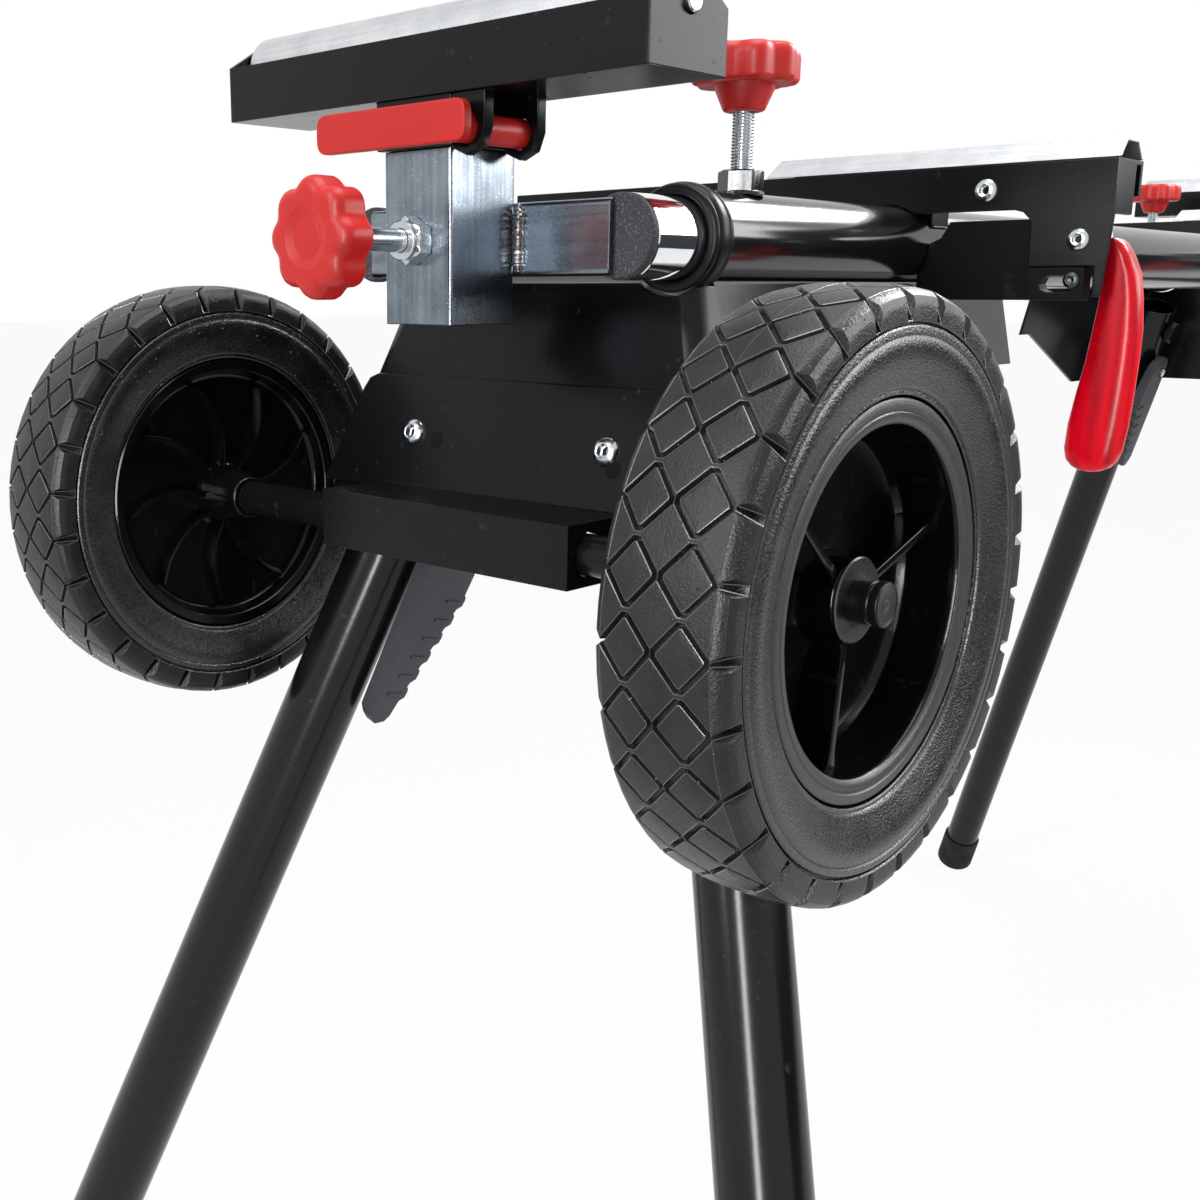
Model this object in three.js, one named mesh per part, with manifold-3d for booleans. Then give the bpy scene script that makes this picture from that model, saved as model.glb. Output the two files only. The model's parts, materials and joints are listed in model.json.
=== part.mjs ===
// Folding stand for a mitre saw: two parallel rails on four splayed legs, two wheels at one end,
// a pull-out work support at each end and two quick-release saw brackets across the rails.
// Millimetres, +Z up, +X along the rails away from the wheels, origin on the floor under the centre.
import * as THREE from "three";
import { mergeVertices } from "three/addons/utils/BufferGeometryUtils.js";
import Module from "manifold-3d";

const wasm = await Module();
wasm.setup();

// ---- Clearances ----
const GAP = 0.3; // between pieces that touch
const PIN_GAP = 0.3; // round a hinge pin
const BIG = 400; // length of cutting tools, past every piece they cut

// ---- Whole stand ----
const AXLE_HEIGHT = 620; // floor to wheel axle
const HALF_SPAN = 550; // wheel axle to the middle of the stand
const SHEET = 2.5; // thickness of the folded steel sheet
const WELD = 0.5; // how far welded pieces run into each other

// ---- Rails and extension tubes ----
const RAIL_R = 19;
const RAIL_WALL = 1.5;
const RAIL_Y = 67; // rail axis to the middle plane
const RAIL_Z = 117; // rail axis above the wheel axle
const RAIL_START = 54; // rail mouth, from the wheel axle
const ARM_R = 15.9;
const ARM_WALL = 1.5;
const ARM_START = 21;
const ARM_APART = 39; // inner end of each extension tube to the middle of the stand
const COLLAR_R = 21.5;
const COLLAR_LENGTH = 12;
const COLLAR_LIP = 4;
const BUSH_LENGTH = 20;
const CAP_THICK = 4;
const CAP_DEPTH = 12;

// ---- Extension head: cross bar and upright sleeve ----
const BAR_SIZE = 28;
const BAR_WALL = 2;
const SLEEVE_SIZE = 36;
const SLEEVE_WALL = 2;
const SLEEVE_LENGTH = 65;
const SLEEVE_ABOVE = 32.5; // sleeve top above the rail axis
const BAR_FRONT = 14; // front face of the cross bar

// ---- Work support ----
const POST_PLAY = 0.5;
const POST_WALL = 2;
const POST_LENGTH = 60;
const HEAD_LENGTH = 220;
const HEAD_WIDTH = 44;
const HEAD_FLANGE = 22;
const HEAD_BLOCK = 18; // height of the block between sleeve and tray
const HEAD_BLOCK_WIDTH = 40;
const ROLLER_R = 14;
const ROLLER_PIN_R = 4;
const STOP_PIN_R = 5.5;
const STOP_LENGTH = 74;
const STOP_HEIGHT = 15;
const STOP_THICK = 4;

// ---- Star knobs and their screws ----
const SCREW_R = 4.5;
const NUT_R = 9.2; // across the corners
const NUT_HEIGHT = 9;
const KNOB_R = 21.8;
const KNOB_WAVE = 2.3; // half the depth of the hollows between the lobes
const KNOB_LOBES = 8;
const KNOB_THICK = 15;
const KNOB_BEVEL = 2.5;
const KNOB_RECESS_R = 10.5;
const KNOB_RECESS = 1.4;
const KNOB_HUB_R = 10;
const KNOB_HUB = 10;
const POST_SCREW_DROP = 1; // clamp screw below the rail axis
const POST_SCREW_FREE = 22; // bare screw between sleeve and knob
const RAIL_SCREW_X = 97;
const RAIL_SCREW_FREE = 22; // bare screw between rail and knob

// ---- Legs: each swings in a plane that leans outwards ----
const LEG_R = 18;
const LEG_WALL = 1.5;
const LEG_X = 57.6; // leg axis where it passes the height of the wheel axle
const LEG_OUT = 20.7; // outside the rail axis at that height
const LEG_LEAN = 0.276; // towards the end of the stand, per unit of height
const LEG_SPLAY = 0.329; // sideways, per unit of height
const LEG_ABOVE_PIVOT = 20;
const WHEEL_END_PIVOT = 24; // pivot height above the wheel axle
const FAR_END_PIVOT = 64;
const PIVOT_R = 6;
const PIVOT_HEAD_R = 10;
const PIVOT_HEAD = 6;
const FOOT_R = 20.4;
const FOOT_FLAT = 12.4;
const FOOT_ROUND = 8;
const FOOT_DEPTH = 45;
const FOOT_SOLE = 6;

// ---- Leg latches ----
const LATCH_THICK = 8;
const LATCH_OFF = 2.5; // leg surface to latch
const LATCH_PIN_R = 4;
const LATCH_PIN_X = 9;
const LATCH_PIN_DROP = 36; // below the leg's pivot
const LATCH_WIDE = 38;
const LATCH_TIP = 22; // width where the ridges end
const LATCH_LENGTH = 138;
const LATCH_RIDGES = 6;
const LATCH_RIDGE = 1.6;

// ---- End saddles ----
const SADDLE_X = 50; // front of the web at its top
const SADDLE_DROP = 16.5; // saddle top below the rail axis
const SADDLE_LENGTH = 280;
const SADDLE_CORNER = 8;
const SADDLE_REAR_LOW = 60;
const SADDLE_DEEP = 90; // deep part behind the leg
const SADDLE_TAIL = 30; // shallow part at the rear
const SADDLE_SIDE_GAP = 2.7; // leg to side plate, so that a folded foot passes
const WHEEL_END_SADDLE_LOW = 4;
const FAR_END_SADDLE_LOW = 12;

// ---- Axle bracket ----
const CHANNEL_SIZE = 25;
const CHANNEL_HALF = 70;
const PLATE_TOP = 60;
const PLATE_CORNER = 7;
const AXLE_R = 8;
const AXLE_END_R = 6;

// ---- Wheels ----
const WHEEL_Y = 171.4;
const TYRE_R = 100;
const TYRE_WIDTH = 45;
const TYRE_SEAT_R = 66;
const RIM_FLANGE = 9.4; // tyre seat to rim opening
const RIM_HALF = 17.8;
const RIM_WALL = 4;
const DISC_Y = -8; // middle of the wheel disc, outboard positive
const DISC_THICK = 4;
const HUB_R = 14;
const HUB_OUT = 7;
const HUB_IN = 33;
const BORE_PLAY = 0.07;
const RIB_THICK = 4;
const FAN_RIBS = 9;
const FAN_THICK = 3;
const WASHER_R = 14.3;
const WASHER = 1.8;
const AXLE_CAP_R = 7.6;

// ---- Saw brackets: heights from the rail axis, widths outwards from it ----
const BRACKET_X = 325; // web of each bracket to the middle of the stand
const BEAM_OVERHANG = 101.5;
const BEAM_WIDTH = 30;
const BEAM_ABOVE = 35; // beam top
const WEB_BELOW = 22.4; // lower edge of the web at the lever
const WEB_MID_BELOW = 5; // lower edge of the web between the rails
const END_FLANGE = 22;
const END_FLANGE_ABOVE = 12;
const HOOK_BELOW = 16; // tip of the hook at the far rail
const HOOK_WIDTH = 15;
const POCKET_OUT = 67; // opening in the web for rail and jaw
const POCKET_ABOVE = 15;
const BOSS_OUT = 92;
const BOSS_BELOW = 10;
const PAD_START = 10;
const PAD_END = 27;
const PAD_HALF = 17;
const SEAT_HEIGHT = 8.7;
const SEAT_SLOPE = 7.5;
const SEAT_SHEET = 2;
const SEAT_END = 1.5; // inner end, past the middle of the beam
const SLOT_R = 4.25;
const SLOT_LENGTH = 30; // between the centres of its ends
const SLOT_INSET = 22;
const SLOT_CLEAR = 4; // middle slot to the rail pad
const LEVER_OUT = 88;
const LEVER_ABOVE = 1.7;
const LEVER_PIN_R = 5;
const LEVER_HUB_R = 8.5;
const LEVER_THICK = 4;
const LEVER_DROP = 89; // pivot to the end of the steel arm
const JAW_THICK = 5.3;
const JAW_BELOW = 24;
const JAW_ABOVE = 11;
const JAW_TIP_OUT = 14.5;
const JAW_TRAVEL = 3;
const GRIP_THICK = 14.6;
const GRIP_BEVEL = 3;
const GRIP_PAST_ARM = 12;

// Round pieces: sides of their polygons.
const FINE = 24;
const ROUND = 16;
const SMALL = 8;

// ---- Derived sizes ----
const LEG_Y = RAIL_Y + LEG_OUT;
const ARM_LENGTH = HALF_SPAN - ARM_START - ARM_APART;
const SADDLE_TOP = RAIL_Z - SADDLE_DROP;
const SLEEVE_TOP = RAIL_Z + SLEEVE_ABOVE;
const POST_SCREW_Z = RAIL_Z - POST_SCREW_DROP;
const RIM_OPENING_R = TYRE_SEAT_R - RIM_FLANGE;
const TILT = Math.atan(LEG_SPLAY); // swing plane of a leg, from the vertical
const SWING = Math.atan(LEG_LEAN * Math.cos(TILT)); // leg in its swing plane, from straight down
const SADDLE_HALF =
  LEG_Y - LEG_SPLAY * SADDLE_TOP + (LEG_R + SADDLE_SIDE_GAP + SHEET) / Math.cos(TILT);
const SLEEVE_X = BAR_FRONT + WELD - SLEEVE_SIZE / 2;
const POST_SIZE = SLEEVE_SIZE - 2 * (SLEEVE_WALL + POST_PLAY);
const BEAM_HALF = RAIL_Y + BEAM_OVERHANG;
const BEAM_TOP = RAIL_Z + BEAM_ABOVE;
const JAW_BACK = SHEET + GAP + JAW_THICK;
const LEVER_X = JAW_BACK + GAP + GRIP_THICK / 2; // middle plane of lever and grip
const LEVER_Y = -RAIL_Y - LEVER_OUT;
const LEVER_Z = RAIL_Z + LEVER_ABOVE;

const material = (color, roughness, metalness) =>
  new THREE.MeshStandardMaterial({ color, roughness, metalness });
const blackPaint = material(0x15161a, 0.28, 0.2);
const zinc = material(0xb9bec2, 0.35, 0.9);
const chrome = material(0xd9dbde, 0.12, 1);
const greyPlastic = material(0x55565a, 0.75, 0);
const blackPlastic = material(0x1b1b1d, 0.5, 0);
const rubber = material(0x242426, 0.8, 0);
const redPlastic = material(0xd92b2b, 0.45, 0);

// ---- Shape tools ----

// A manifold-3d solid of a closed geometry.
function solid(geometry) {
  const bare = geometry.clone();
  bare.deleteAttribute("normal");
  bare.deleteAttribute("uv");
  const merged = mergeVertices(bare, 1e-4);
  return new wasm.Manifold(
    new wasm.Mesh({
      numProp: 3,
      vertProperties: merged.attributes.position.array,
      triVerts: Uint32Array.from(merged.index.array),
    }),
  );
}

// The geometry of a manifold-3d solid, with flat faces.
function geometryOf(body) {
  const made = body.getMesh();
  const geometry = new THREE.BufferGeometry();
  geometry.setAttribute("position", new THREE.BufferAttribute(made.vertProperties, 3));
  geometry.setIndex(Array.from(made.triVerts));
  const flat = geometry.toNonIndexed();
  flat.computeVertexNormals();
  return flat;
}

const join = (...geometries) => geometryOf(geometries.map(solid).reduce((a, b) => a.add(b)));
const cut = (geometry, ...tools) =>
  geometryOf(tools.map(solid).reduce((a, b) => a.subtract(b), solid(geometry)));

// A box between two corners.
function box([x0, y0, z0], [x1, y1, z1]) {
  const size = [x1 - x0, y1 - y0, z1 - z0];
  const middle = [(x0 + x1) / 2, (y0 + y1) / 2, (z0 + z1) / 2];
  return new THREE.BoxGeometry(...size).translate(...middle);
}

// Turns a piece built along +Z so that it runs along another axis.
function along(axis, geometry) {
  if (axis === "x") return geometry.rotateX(Math.PI / 2).rotateZ(Math.PI / 2);
  if (axis === "y") return geometry.rotateX(Math.PI / 2).rotateZ(Math.PI);
  return geometry;
}

// A round bar along an axis, from one coordinate to the other, through a point across it.
function bar(axis, from, to, radius, [a, b] = [0, 0], sides = ROUND) {
  const length = to - from;
  const rod = new THREE.CylinderGeometry(radius, radius, length, sides);
  rod.rotateX(Math.PI / 2).translate(0, 0, from + length / 2);
  along(axis, rod);
  const place = { x: [0, a, b], y: [a, 0, b], z: [a, b, 0] }[axis];
  return rod.translate(...place);
}

// A tube open at both ends.
const pipe = (axis, from, to, radius, wall, point, sides = ROUND) =>
  cut(
    bar(axis, from, to, radius, point, sides),
    bar(axis, from - 1, to + 1, radius - wall, point, sides),
  );

// Corner radius of a polygon whose flats lie on a radius, so that a round bar still fits inside.
const around = (radius, sides) => radius / Math.cos(Math.PI / sides);

// A tool for a round hole right through.
const hole = (axis, radius, point, sides = SMALL) =>
  bar(axis, -BIG, BIG, around(radius, sides), point, sides);

// Turns a list of points round so that they run anticlockwise.
function anticlockwise(points) {
  const area = points.reduce((sum, [x, y], i) => {
    const [nextX, nextY] = points[(i + 1) % points.length];
    return sum + x * nextY - nextX * y;
  }, 0);
  return area > 0 ? points : [...points].reverse();
}

// A body of revolution about Y from a closed (radius, y) profile.
function turned(profile, sides = ROUND) {
  const points = anticlockwise(profile).map(([r, y]) => new THREE.Vector2(r, y));
  points.push(points[0].clone());
  return new THREE.LatheGeometry(points, sides);
}

// A body of revolution that closes on the axis: its profile starts and ends there.
function turnedSolid(profile, sides = ROUND) {
  const points = profile.map(([r, y]) => new THREE.Vector2(r, y));
  return new THREE.LatheGeometry(points, sides);
}

const outline = (points) => new THREE.Shape(points.map(([x, y]) => new THREE.Vector2(x, y)));

// A flat outline given in (x, z), as thick as from y0 to y1.
function plateXZ(points, y0, y1) {
  const plate = new THREE.ExtrudeGeometry(outline(points), { depth: y1 - y0, bevelEnabled: false });
  return plate.rotateX(Math.PI / 2).translate(0, y1, 0);
}

// A flat outline given in (y, z), as thick as from x0 to x1.
function plateYZ(points, x0, x1) {
  const plate = new THREE.ExtrudeGeometry(outline(points), { depth: x1 - x0, bevelEnabled: false });
  return plate.rotateX(Math.PI / 2).rotateZ(Math.PI / 2).translate(x0, 0, 0);
}

// Points of a circular arc, angles in degrees.
function arc([cx, cy], radius, fromDeg, toDeg, steps) {
  return Array.from({ length: steps + 1 }, (_, i) => {
    const angle = THREE.MathUtils.degToRad(fromDeg + ((toDeg - fromDeg) * i) / steps);
    return [cx + radius * Math.cos(angle), cy + radius * Math.sin(angle)];
  });
}

// Slants an upright piece so that it keeps its place at height z0 and leans along X with the legs.
function lean(geometry, z0) {
  geometry.translate(0, 0, -z0);
  geometry.applyMatrix4(new THREE.Matrix4().makeShear(0, 0, 0, 0, LEG_LEAN, 0));
  return geometry.translate(0, 0, z0);
}

function mesh(name, geometry, finish, parent) {
  const made = new THREE.Mesh(geometry, finish);
  made.name = name;
  parent.add(made);
  return made;
}

function group(parent, position = [0, 0, 0]) {
  const made = new THREE.Group();
  made.position.set(...position);
  parent.add(made);
  return made;
}

// ---- Wheels ----

// Half of the tyre's section, from the inner seat to the crown, mirrored for the other half.
function tyreGeometry() {
  const half = TYRE_WIDTH / 2;
  const side = [
    [TYRE_SEAT_R, RIM_HALF - GAP],
    [TYRE_SEAT_R + 8, half - 1],
    [TYRE_R - 15, half],
    [TYRE_R - 12, half - 1.6],
    [TYRE_R - 4, half - 0.6],
    [TYRE_R - 0.8, half - 8],
  ];
  const other = side.map(([r, y]) => [r, -y]).reverse();
  return turned([...side, [TYRE_R, 0], ...other], FINE);
}

// A rib of the outboard face, from hub to barrel, thinning outwards.
function spokeRib() {
  const back = DISC_Y;
  const points = [
    [HUB_R - 2, back],
    [RIM_OPENING_R + 1, back],
    [RIM_OPENING_R + 1, back + 8],
    [HUB_R + 1, HUB_OUT - 1],
    [HUB_R - 2, HUB_OUT - 1],
  ];
  const rib = new THREE.ExtrudeGeometry(outline(points), { depth: RIB_THICK, bevelEnabled: false });
  return rib.translate(0, 0, -RIB_THICK / 2);
}

// A curved fan blade of the inboard face.
function fanRib() {
  const reach = RIM_OPENING_R + 1;
  const centre = [reach * 0.5, -reach * 0.62];
  const radius = Math.hypot(centre[0] - HUB_R + 2, centre[1]);
  const outer = arc(centre, radius + FAN_THICK / 2, 128, 48, 2);
  const inner = arc(centre, radius - FAN_THICK / 2, 48, 128, 2);
  const blade = new THREE.ExtrudeGeometry(outline([...outer, ...inner]), {
    depth: RIM_HALF + DISC_Y - 2,
    bevelEnabled: false,
  });
  return blade.rotateX(Math.PI / 2).translate(0, DISC_Y, 0);
}

function rimGeometry() {
  const seat = TYRE_SEAT_R - GAP;
  const inside = RIM_OPENING_R + 3;
  const front = DISC_Y + DISC_THICK / 2;
  const back = DISC_Y - DISC_THICK / 2;
  const bore = around(AXLE_END_R + BORE_PLAY, FINE);
  const barrel = [
    [bore, HUB_OUT],
    [bore, -HUB_IN],
    [HUB_R - 4, -HUB_IN],
    [HUB_R, back],
    [inside, back],
    [inside, -RIM_HALF],
    [seat, -RIM_HALF],
    [seat, RIM_HALF],
    [RIM_OPENING_R + 2, RIM_HALF],
    [RIM_OPENING_R, RIM_HALF - 3],
    [RIM_OPENING_R - 2, front],
    [HUB_R, front],
    [HUB_R - 1, HUB_OUT],
  ];
  // One rib points down and two up.
  const ribs = [30, 150, 270].map((deg) => spokeRib().rotateY(THREE.MathUtils.degToRad(-deg)));
  const keep = turned([
    [HUB_R - 3, -RIM_HALF - 1],
    [RIM_OPENING_R + 3.5, -RIM_HALF - 1],
    [RIM_OPENING_R + 3.5, DISC_Y + 0.5],
    [HUB_R - 3, DISC_Y + 0.5],
  ]);
  const fans = Array.from({ length: FAN_RIBS }, (_, i) =>
    solid(fanRib().rotateY((2 * Math.PI * i) / FAN_RIBS)),
  ).reduce((a, b) => a.add(b));
  const trimmed = geometryOf(fans.intersect(solid(keep)));
  return join(turned(barrel, FINE), ...ribs, trimmed);
}

function axleCapGeometry() {
  const seat = HUB_OUT + GAP;
  const end = RIM_HALF + 1.4;
  return turnedSolid(
    [
      [0, end - GAP - 1],
      [around(AXLE_END_R + GAP, SMALL), end - GAP - 1],
      [around(AXLE_END_R + GAP, SMALL), seat],
      [WASHER_R, seat],
      [WASHER_R, seat + WASHER],
      [AXLE_CAP_R, seat + WASHER],
      [AXLE_CAP_R, end - 1],
      [AXLE_CAP_R - 1, end],
      [0, end],
    ],
    SMALL,
  );
}

// A wheel with +Y outboard.
function buildWheel(name, parent, side) {
  const wheel = group(parent, [0, side * WHEEL_Y, 0]);
  wheel.rotation.z = side > 0 ? 0 : Math.PI;
  mesh(name + "_tyre", tyreGeometry(), rubber, wheel);
  mesh(name + "_rim", rimGeometry(), blackPlastic, wheel);
  mesh(name + "_axle_cap", axleCapGeometry(), blackPlastic, wheel);
}

function axleGeometry() {
  const end = WHEEL_Y + RIM_HALF - GAP;
  const shoulder = WHEEL_Y - HUB_IN - GAP;
  return turnedSolid(
    [
      [0, -end],
      [AXLE_END_R, -end],
      [AXLE_END_R, -shoulder],
      [AXLE_R, -shoulder],
      [AXLE_R, shoulder],
      [AXLE_END_R, shoulder],
      [AXLE_END_R, end],
      [0, end],
    ],
    SMALL,
  );
}

// Folded bracket: a plate that leans with the legs and an open channel round the axle below it.
function axleBracketGeometry() {
  const half = CHANNEL_SIZE / 2;
  const faceX = (z) => SADDLE_X - LEG_LEAN * (SADDLE_TOP - z) - GAP;
  const sideY = (z) => SADDLE_HALF + LEG_SPLAY * (SADDLE_TOP - z);
  const low = half - SHEET;
  const right = [
    [sideY(low), low],
    [sideY(PLATE_TOP) + 1, PLATE_TOP - PLATE_CORNER],
    [sideY(PLATE_TOP) - 2, PLATE_TOP - 2],
    [sideY(PLATE_TOP) - PLATE_CORNER, PLATE_TOP],
  ];
  const left = right.map(([y, z]) => [-y, z]).reverse();
  const plate = lean(plateYZ([...right, ...left], -SHEET, 0), 0);
  plate.translate(faceX(0), 0, 0);
  const backTop = faceX(low) - SHEET / 2;
  const channel = [
    [backTop, half],
    [-half, half],
    [-half, -half],
    [half + 6, -half],
    [half + 6, -half + SHEET],
    [-half + SHEET, -half + SHEET],
    [-half + SHEET, half - SHEET],
    [backTop, half - SHEET],
  ];
  const cheek = [
    [-half, -half],
    [half + 6, -half],
    [backTop, half],
    [-half, half],
  ];
  const folded = join(
    plate,
    plateXZ(channel, -CHANNEL_HALF, CHANNEL_HALF),
    plateXZ(cheek, -CHANNEL_HALF, -CHANNEL_HALF + SHEET),
    plateXZ(cheek, CHANNEL_HALF - SHEET, CHANNEL_HALF),
  );
  return cut(folded, hole("y", AXLE_R + GAP, [0, 0]));
}

// ---- End saddles and legs ----

// Places a group in the leaning swing plane of one leg, with its origin at the leg's pivot.
function swingPlane(parent, side, pivotZ) {
  const frame = group(parent, [
    LEG_X + LEG_LEAN * pivotZ,
    side * (LEG_Y - LEG_SPLAY * pivotZ),
    pivotZ,
  ]);
  frame.rotation.x = side * TILT;
  return frame;
}

// The bolt on which a leg swings, with its head outside and its nut inside, welded to the side plate.
function pivotBolt(side, pivotZ) {
  const plate = side * (LEG_R + SADDLE_SIDE_GAP);
  const outside = plate + side * (SHEET + PIVOT_HEAD);
  const inside = -side * (LEG_R + GAP);
  const nutEnd = inside - side * PIVOT_HEAD;
  const ordered = (a, b) => [Math.min(a, b), Math.max(a, b)];
  const pieces = [
    bar("y", ...ordered(outside, nutEnd), PIVOT_R, [0, 0], SMALL),
    bar("y", ...ordered(outside, plate + side * (SHEET - WELD)), PIVOT_HEAD_R, [0, 0], 6),
    bar("y", ...ordered(inside, nutEnd), PIVOT_HEAD_R, [0, 0], 6),
  ];
  const frame = swingPlane(new THREE.Group(), side, pivotZ);
  frame.updateMatrixWorld(true);
  return pieces.map((piece) => piece.applyMatrix4(frame.matrixWorld));
}

// A folded sheet: a web across the end and two side plates that flare outwards with the legs.
function saddleGeometry(pivotZ, low) {
  const outer = SADDLE_CORNER;
  const inner = SADDLE_CORNER - SHEET;
  const centreX = SADDLE_X + SADDLE_CORNER;
  const centreY = SADDLE_HALF - SADDLE_CORNER;
  const end = SADDLE_X + SADDLE_LENGTH;
  const half = [
    [end, SADDLE_HALF],
    ...arc([centreX, centreY], outer, 90, 180, 3),
    ...arc([centreX, -centreY], outer, 180, 270, 3),
    [end, -SADDLE_HALF],
    [end, -SADDLE_HALF + SHEET],
    ...arc([centreX, -centreY], inner, 270, 180, 3),
    ...arc([centreX, centreY], inner, 180, 90, 3),
    [end, SADDLE_HALF - SHEET],
  ];
  const folded = new THREE.ExtrudeGeometry(outline(half), {
    depth: SADDLE_TOP - low,
    bevelEnabled: false,
  }).translate(0, 0, low);
  const places = folded.getAttribute("position");
  for (let i = 0; i < places.count; i += 1) {
    const drop = SADDLE_TOP - places.getZ(i);
    const y = places.getY(i);
    places.setX(i, places.getX(i) - LEG_LEAN * drop);
    places.setY(i, y + Math.sign(y) * LEG_SPLAY * drop);
  }
  const belly = plateXZ(
    [
      [LEG_X + SADDLE_DEEP, low - 1],
      [end + 20, low - 1],
      [end + 20, SADDLE_REAR_LOW],
      [end - SADDLE_TAIL, SADDLE_REAR_LOW],
    ],
    -BIG,
    BIG,
  );
  const collarEnd = RAIL_START - COLLAR_LIP + COLLAR_LENGTH + GAP;
  const tools = [-1, 1].flatMap((side) => [
    hole("x", RAIL_R + GAP, [side * RAIL_Y, RAIL_Z], FINE),
    bar("x", 0, collarEnd, around(COLLAR_R + GAP, FINE), [side * RAIL_Y, RAIL_Z], FINE),
  ]);
  const trimmed = cut(folded, belly, ...tools);
  return join(trimmed, ...pivotBolt(1, pivotZ), ...pivotBolt(-1, pivotZ));
}

function legGeometry(length, inward) {
  const tube = pipe("z", -length, LEG_ABOVE_PIVOT, LEG_R, LEG_WALL);
  const holed = cut(tube, hole("y", PIVOT_R + PIN_GAP, [0, 0]));
  const pinEnd = inward * (LEG_R + LATCH_OFF + LATCH_THICK + 2);
  const pinRoot = inward * (LEG_R - LEG_WALL - WELD - 1.5);
  const pin = bar(
    "y",
    Math.min(pinRoot, pinEnd),
    Math.max(pinRoot, pinEnd),
    LATCH_PIN_R,
    [LATCH_PIN_X, -LATCH_PIN_DROP],
    SMALL,
  );
  return join(holed, pin);
}

// The leg-release paddle: tapers downwards, with finger ridges along its free edge.
function latchGeometry(inward) {
  const ridged = LATCH_LENGTH * 0.46; // length of the edge with ridges
  const ridgeStep = ridged / LATCH_RIDGES;
  const edge = (z) => LATCH_WIDE + ((z + ridged) / ridged) * (LATCH_WIDE - LATCH_TIP);
  const ridges = Array.from({ length: LATCH_RIDGES }, (_, i) => {
    const top = -ridged - i * ridgeStep;
    return [
      [edge(top), top],
      [edge(top) + LATCH_RIDGE, top - ridgeStep * 0.25],
      [edge(top) + LATCH_RIDGE - 0.6, top - ridgeStep * 0.6],
      [edge(top - ridgeStep * 0.75), top - ridgeStep * 0.75],
    ];
  }).flat();
  const points = [
    [0, -LATCH_PIN_DROP + 6],
    [LATCH_PIN_X, -LATCH_PIN_DROP + 15],
    [LATCH_PIN_X + 15, -LATCH_PIN_DROP + 13],
    [LATCH_WIDE, -LATCH_PIN_DROP - 14],
    ...ridges,
    [20, -LATCH_LENGTH + 4],
    [12, -LATCH_LENGTH],
    [4, -LATCH_LENGTH + 8],
    [1, -LATCH_LENGTH * 0.5],
  ];
  const near = inward * (LEG_R + LATCH_OFF);
  const far = near + inward * LATCH_THICK;
  const paddle = plateXZ(points, Math.min(near, far), Math.max(near, far));
  return cut(paddle, hole("y", LATCH_PIN_R + PIN_GAP, [LATCH_PIN_X, -LATCH_PIN_DROP]));
}

// A cup over the leg's end, its rounded sole down at y = 0.
function footGeometry() {
  const sole = arc([FOOT_FLAT, FOOT_ROUND], FOOT_ROUND, -90, 0, 3);
  return turnedSolid(
    [
      [0, 0],
      ...sole,
      [FOOT_R, FOOT_DEPTH],
      [around(LEG_R + GAP, ROUND), FOOT_DEPTH],
      [around(LEG_R + GAP, ROUND), FOOT_SOLE],
      [0, FOOT_SOLE],
    ],
    ROUND,
  );
}

// A leg in its swing plane, with foot and latch.
function buildLeg(name, parent, side, pivotZ) {
  const frame = swingPlane(parent, side, pivotZ);
  const leg = group(frame);
  leg.rotation.y = SWING;
  const steep = Math.cos(SWING) * Math.cos(TILT); // vertical share of the leg's length
  const flat = Math.sqrt(1 - steep * steep);
  const soleHeight = FOOT_ROUND * (1 - steep) + FOOT_FLAT * flat; // middle of the tipped sole
  const reach = (AXLE_HEIGHT + pivotZ - soleHeight) / steep;
  const inward = -side;
  mesh(name + "_tube", legGeometry(reach - FOOT_SOLE - GAP, inward), blackPaint, leg);
  mesh(name + "_latch", latchGeometry(inward), greyPlastic, leg);
  const foot = mesh(name + "_foot", footGeometry(), rubber, leg);
  foot.rotation.x = Math.PI / 2;
  foot.position.z = -reach;
}

// ---- Star knob with its screw: the screw's tip at z = 0, the knob above ----
function starKnob(free, nutHeight) {
  const seat = nutHeight + free;
  const steps = KNOB_LOBES * 4;
  const edge = Array.from({ length: steps }, (_, i) => {
    const angle = (2 * Math.PI * i) / steps;
    const radius = KNOB_R - KNOB_BEVEL - KNOB_WAVE + KNOB_WAVE * Math.cos(KNOB_LOBES * angle);
    return [radius * Math.cos(angle), radius * Math.sin(angle)];
  });
  const star = new THREE.ExtrudeGeometry(outline(edge), {
    depth: KNOB_THICK - 2 * KNOB_BEVEL,
    bevelThickness: KNOB_BEVEL,
    bevelSize: KNOB_BEVEL,
    bevelSegments: 1,
  }).translate(0, 0, seat + KNOB_HUB + KNOB_BEVEL);
  const top = seat + KNOB_HUB + KNOB_THICK;
  const recessed = cut(star, bar("z", top - KNOB_RECESS, top + 1, KNOB_RECESS_R, [0, 0], SMALL));
  const hub = new THREE.CylinderGeometry(KNOB_HUB_R + 3, KNOB_HUB_R - 2, KNOB_HUB + 1, SMALL)
    .rotateX(Math.PI / 2)
    .translate(0, 0, seat + (KNOB_HUB + 1) / 2);
  const screw = bar("z", 0, seat + 1, SCREW_R, [0, 0], SMALL);
  return join(recessed, hub, screw);
}

// ---- Extension arms ----

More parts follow.
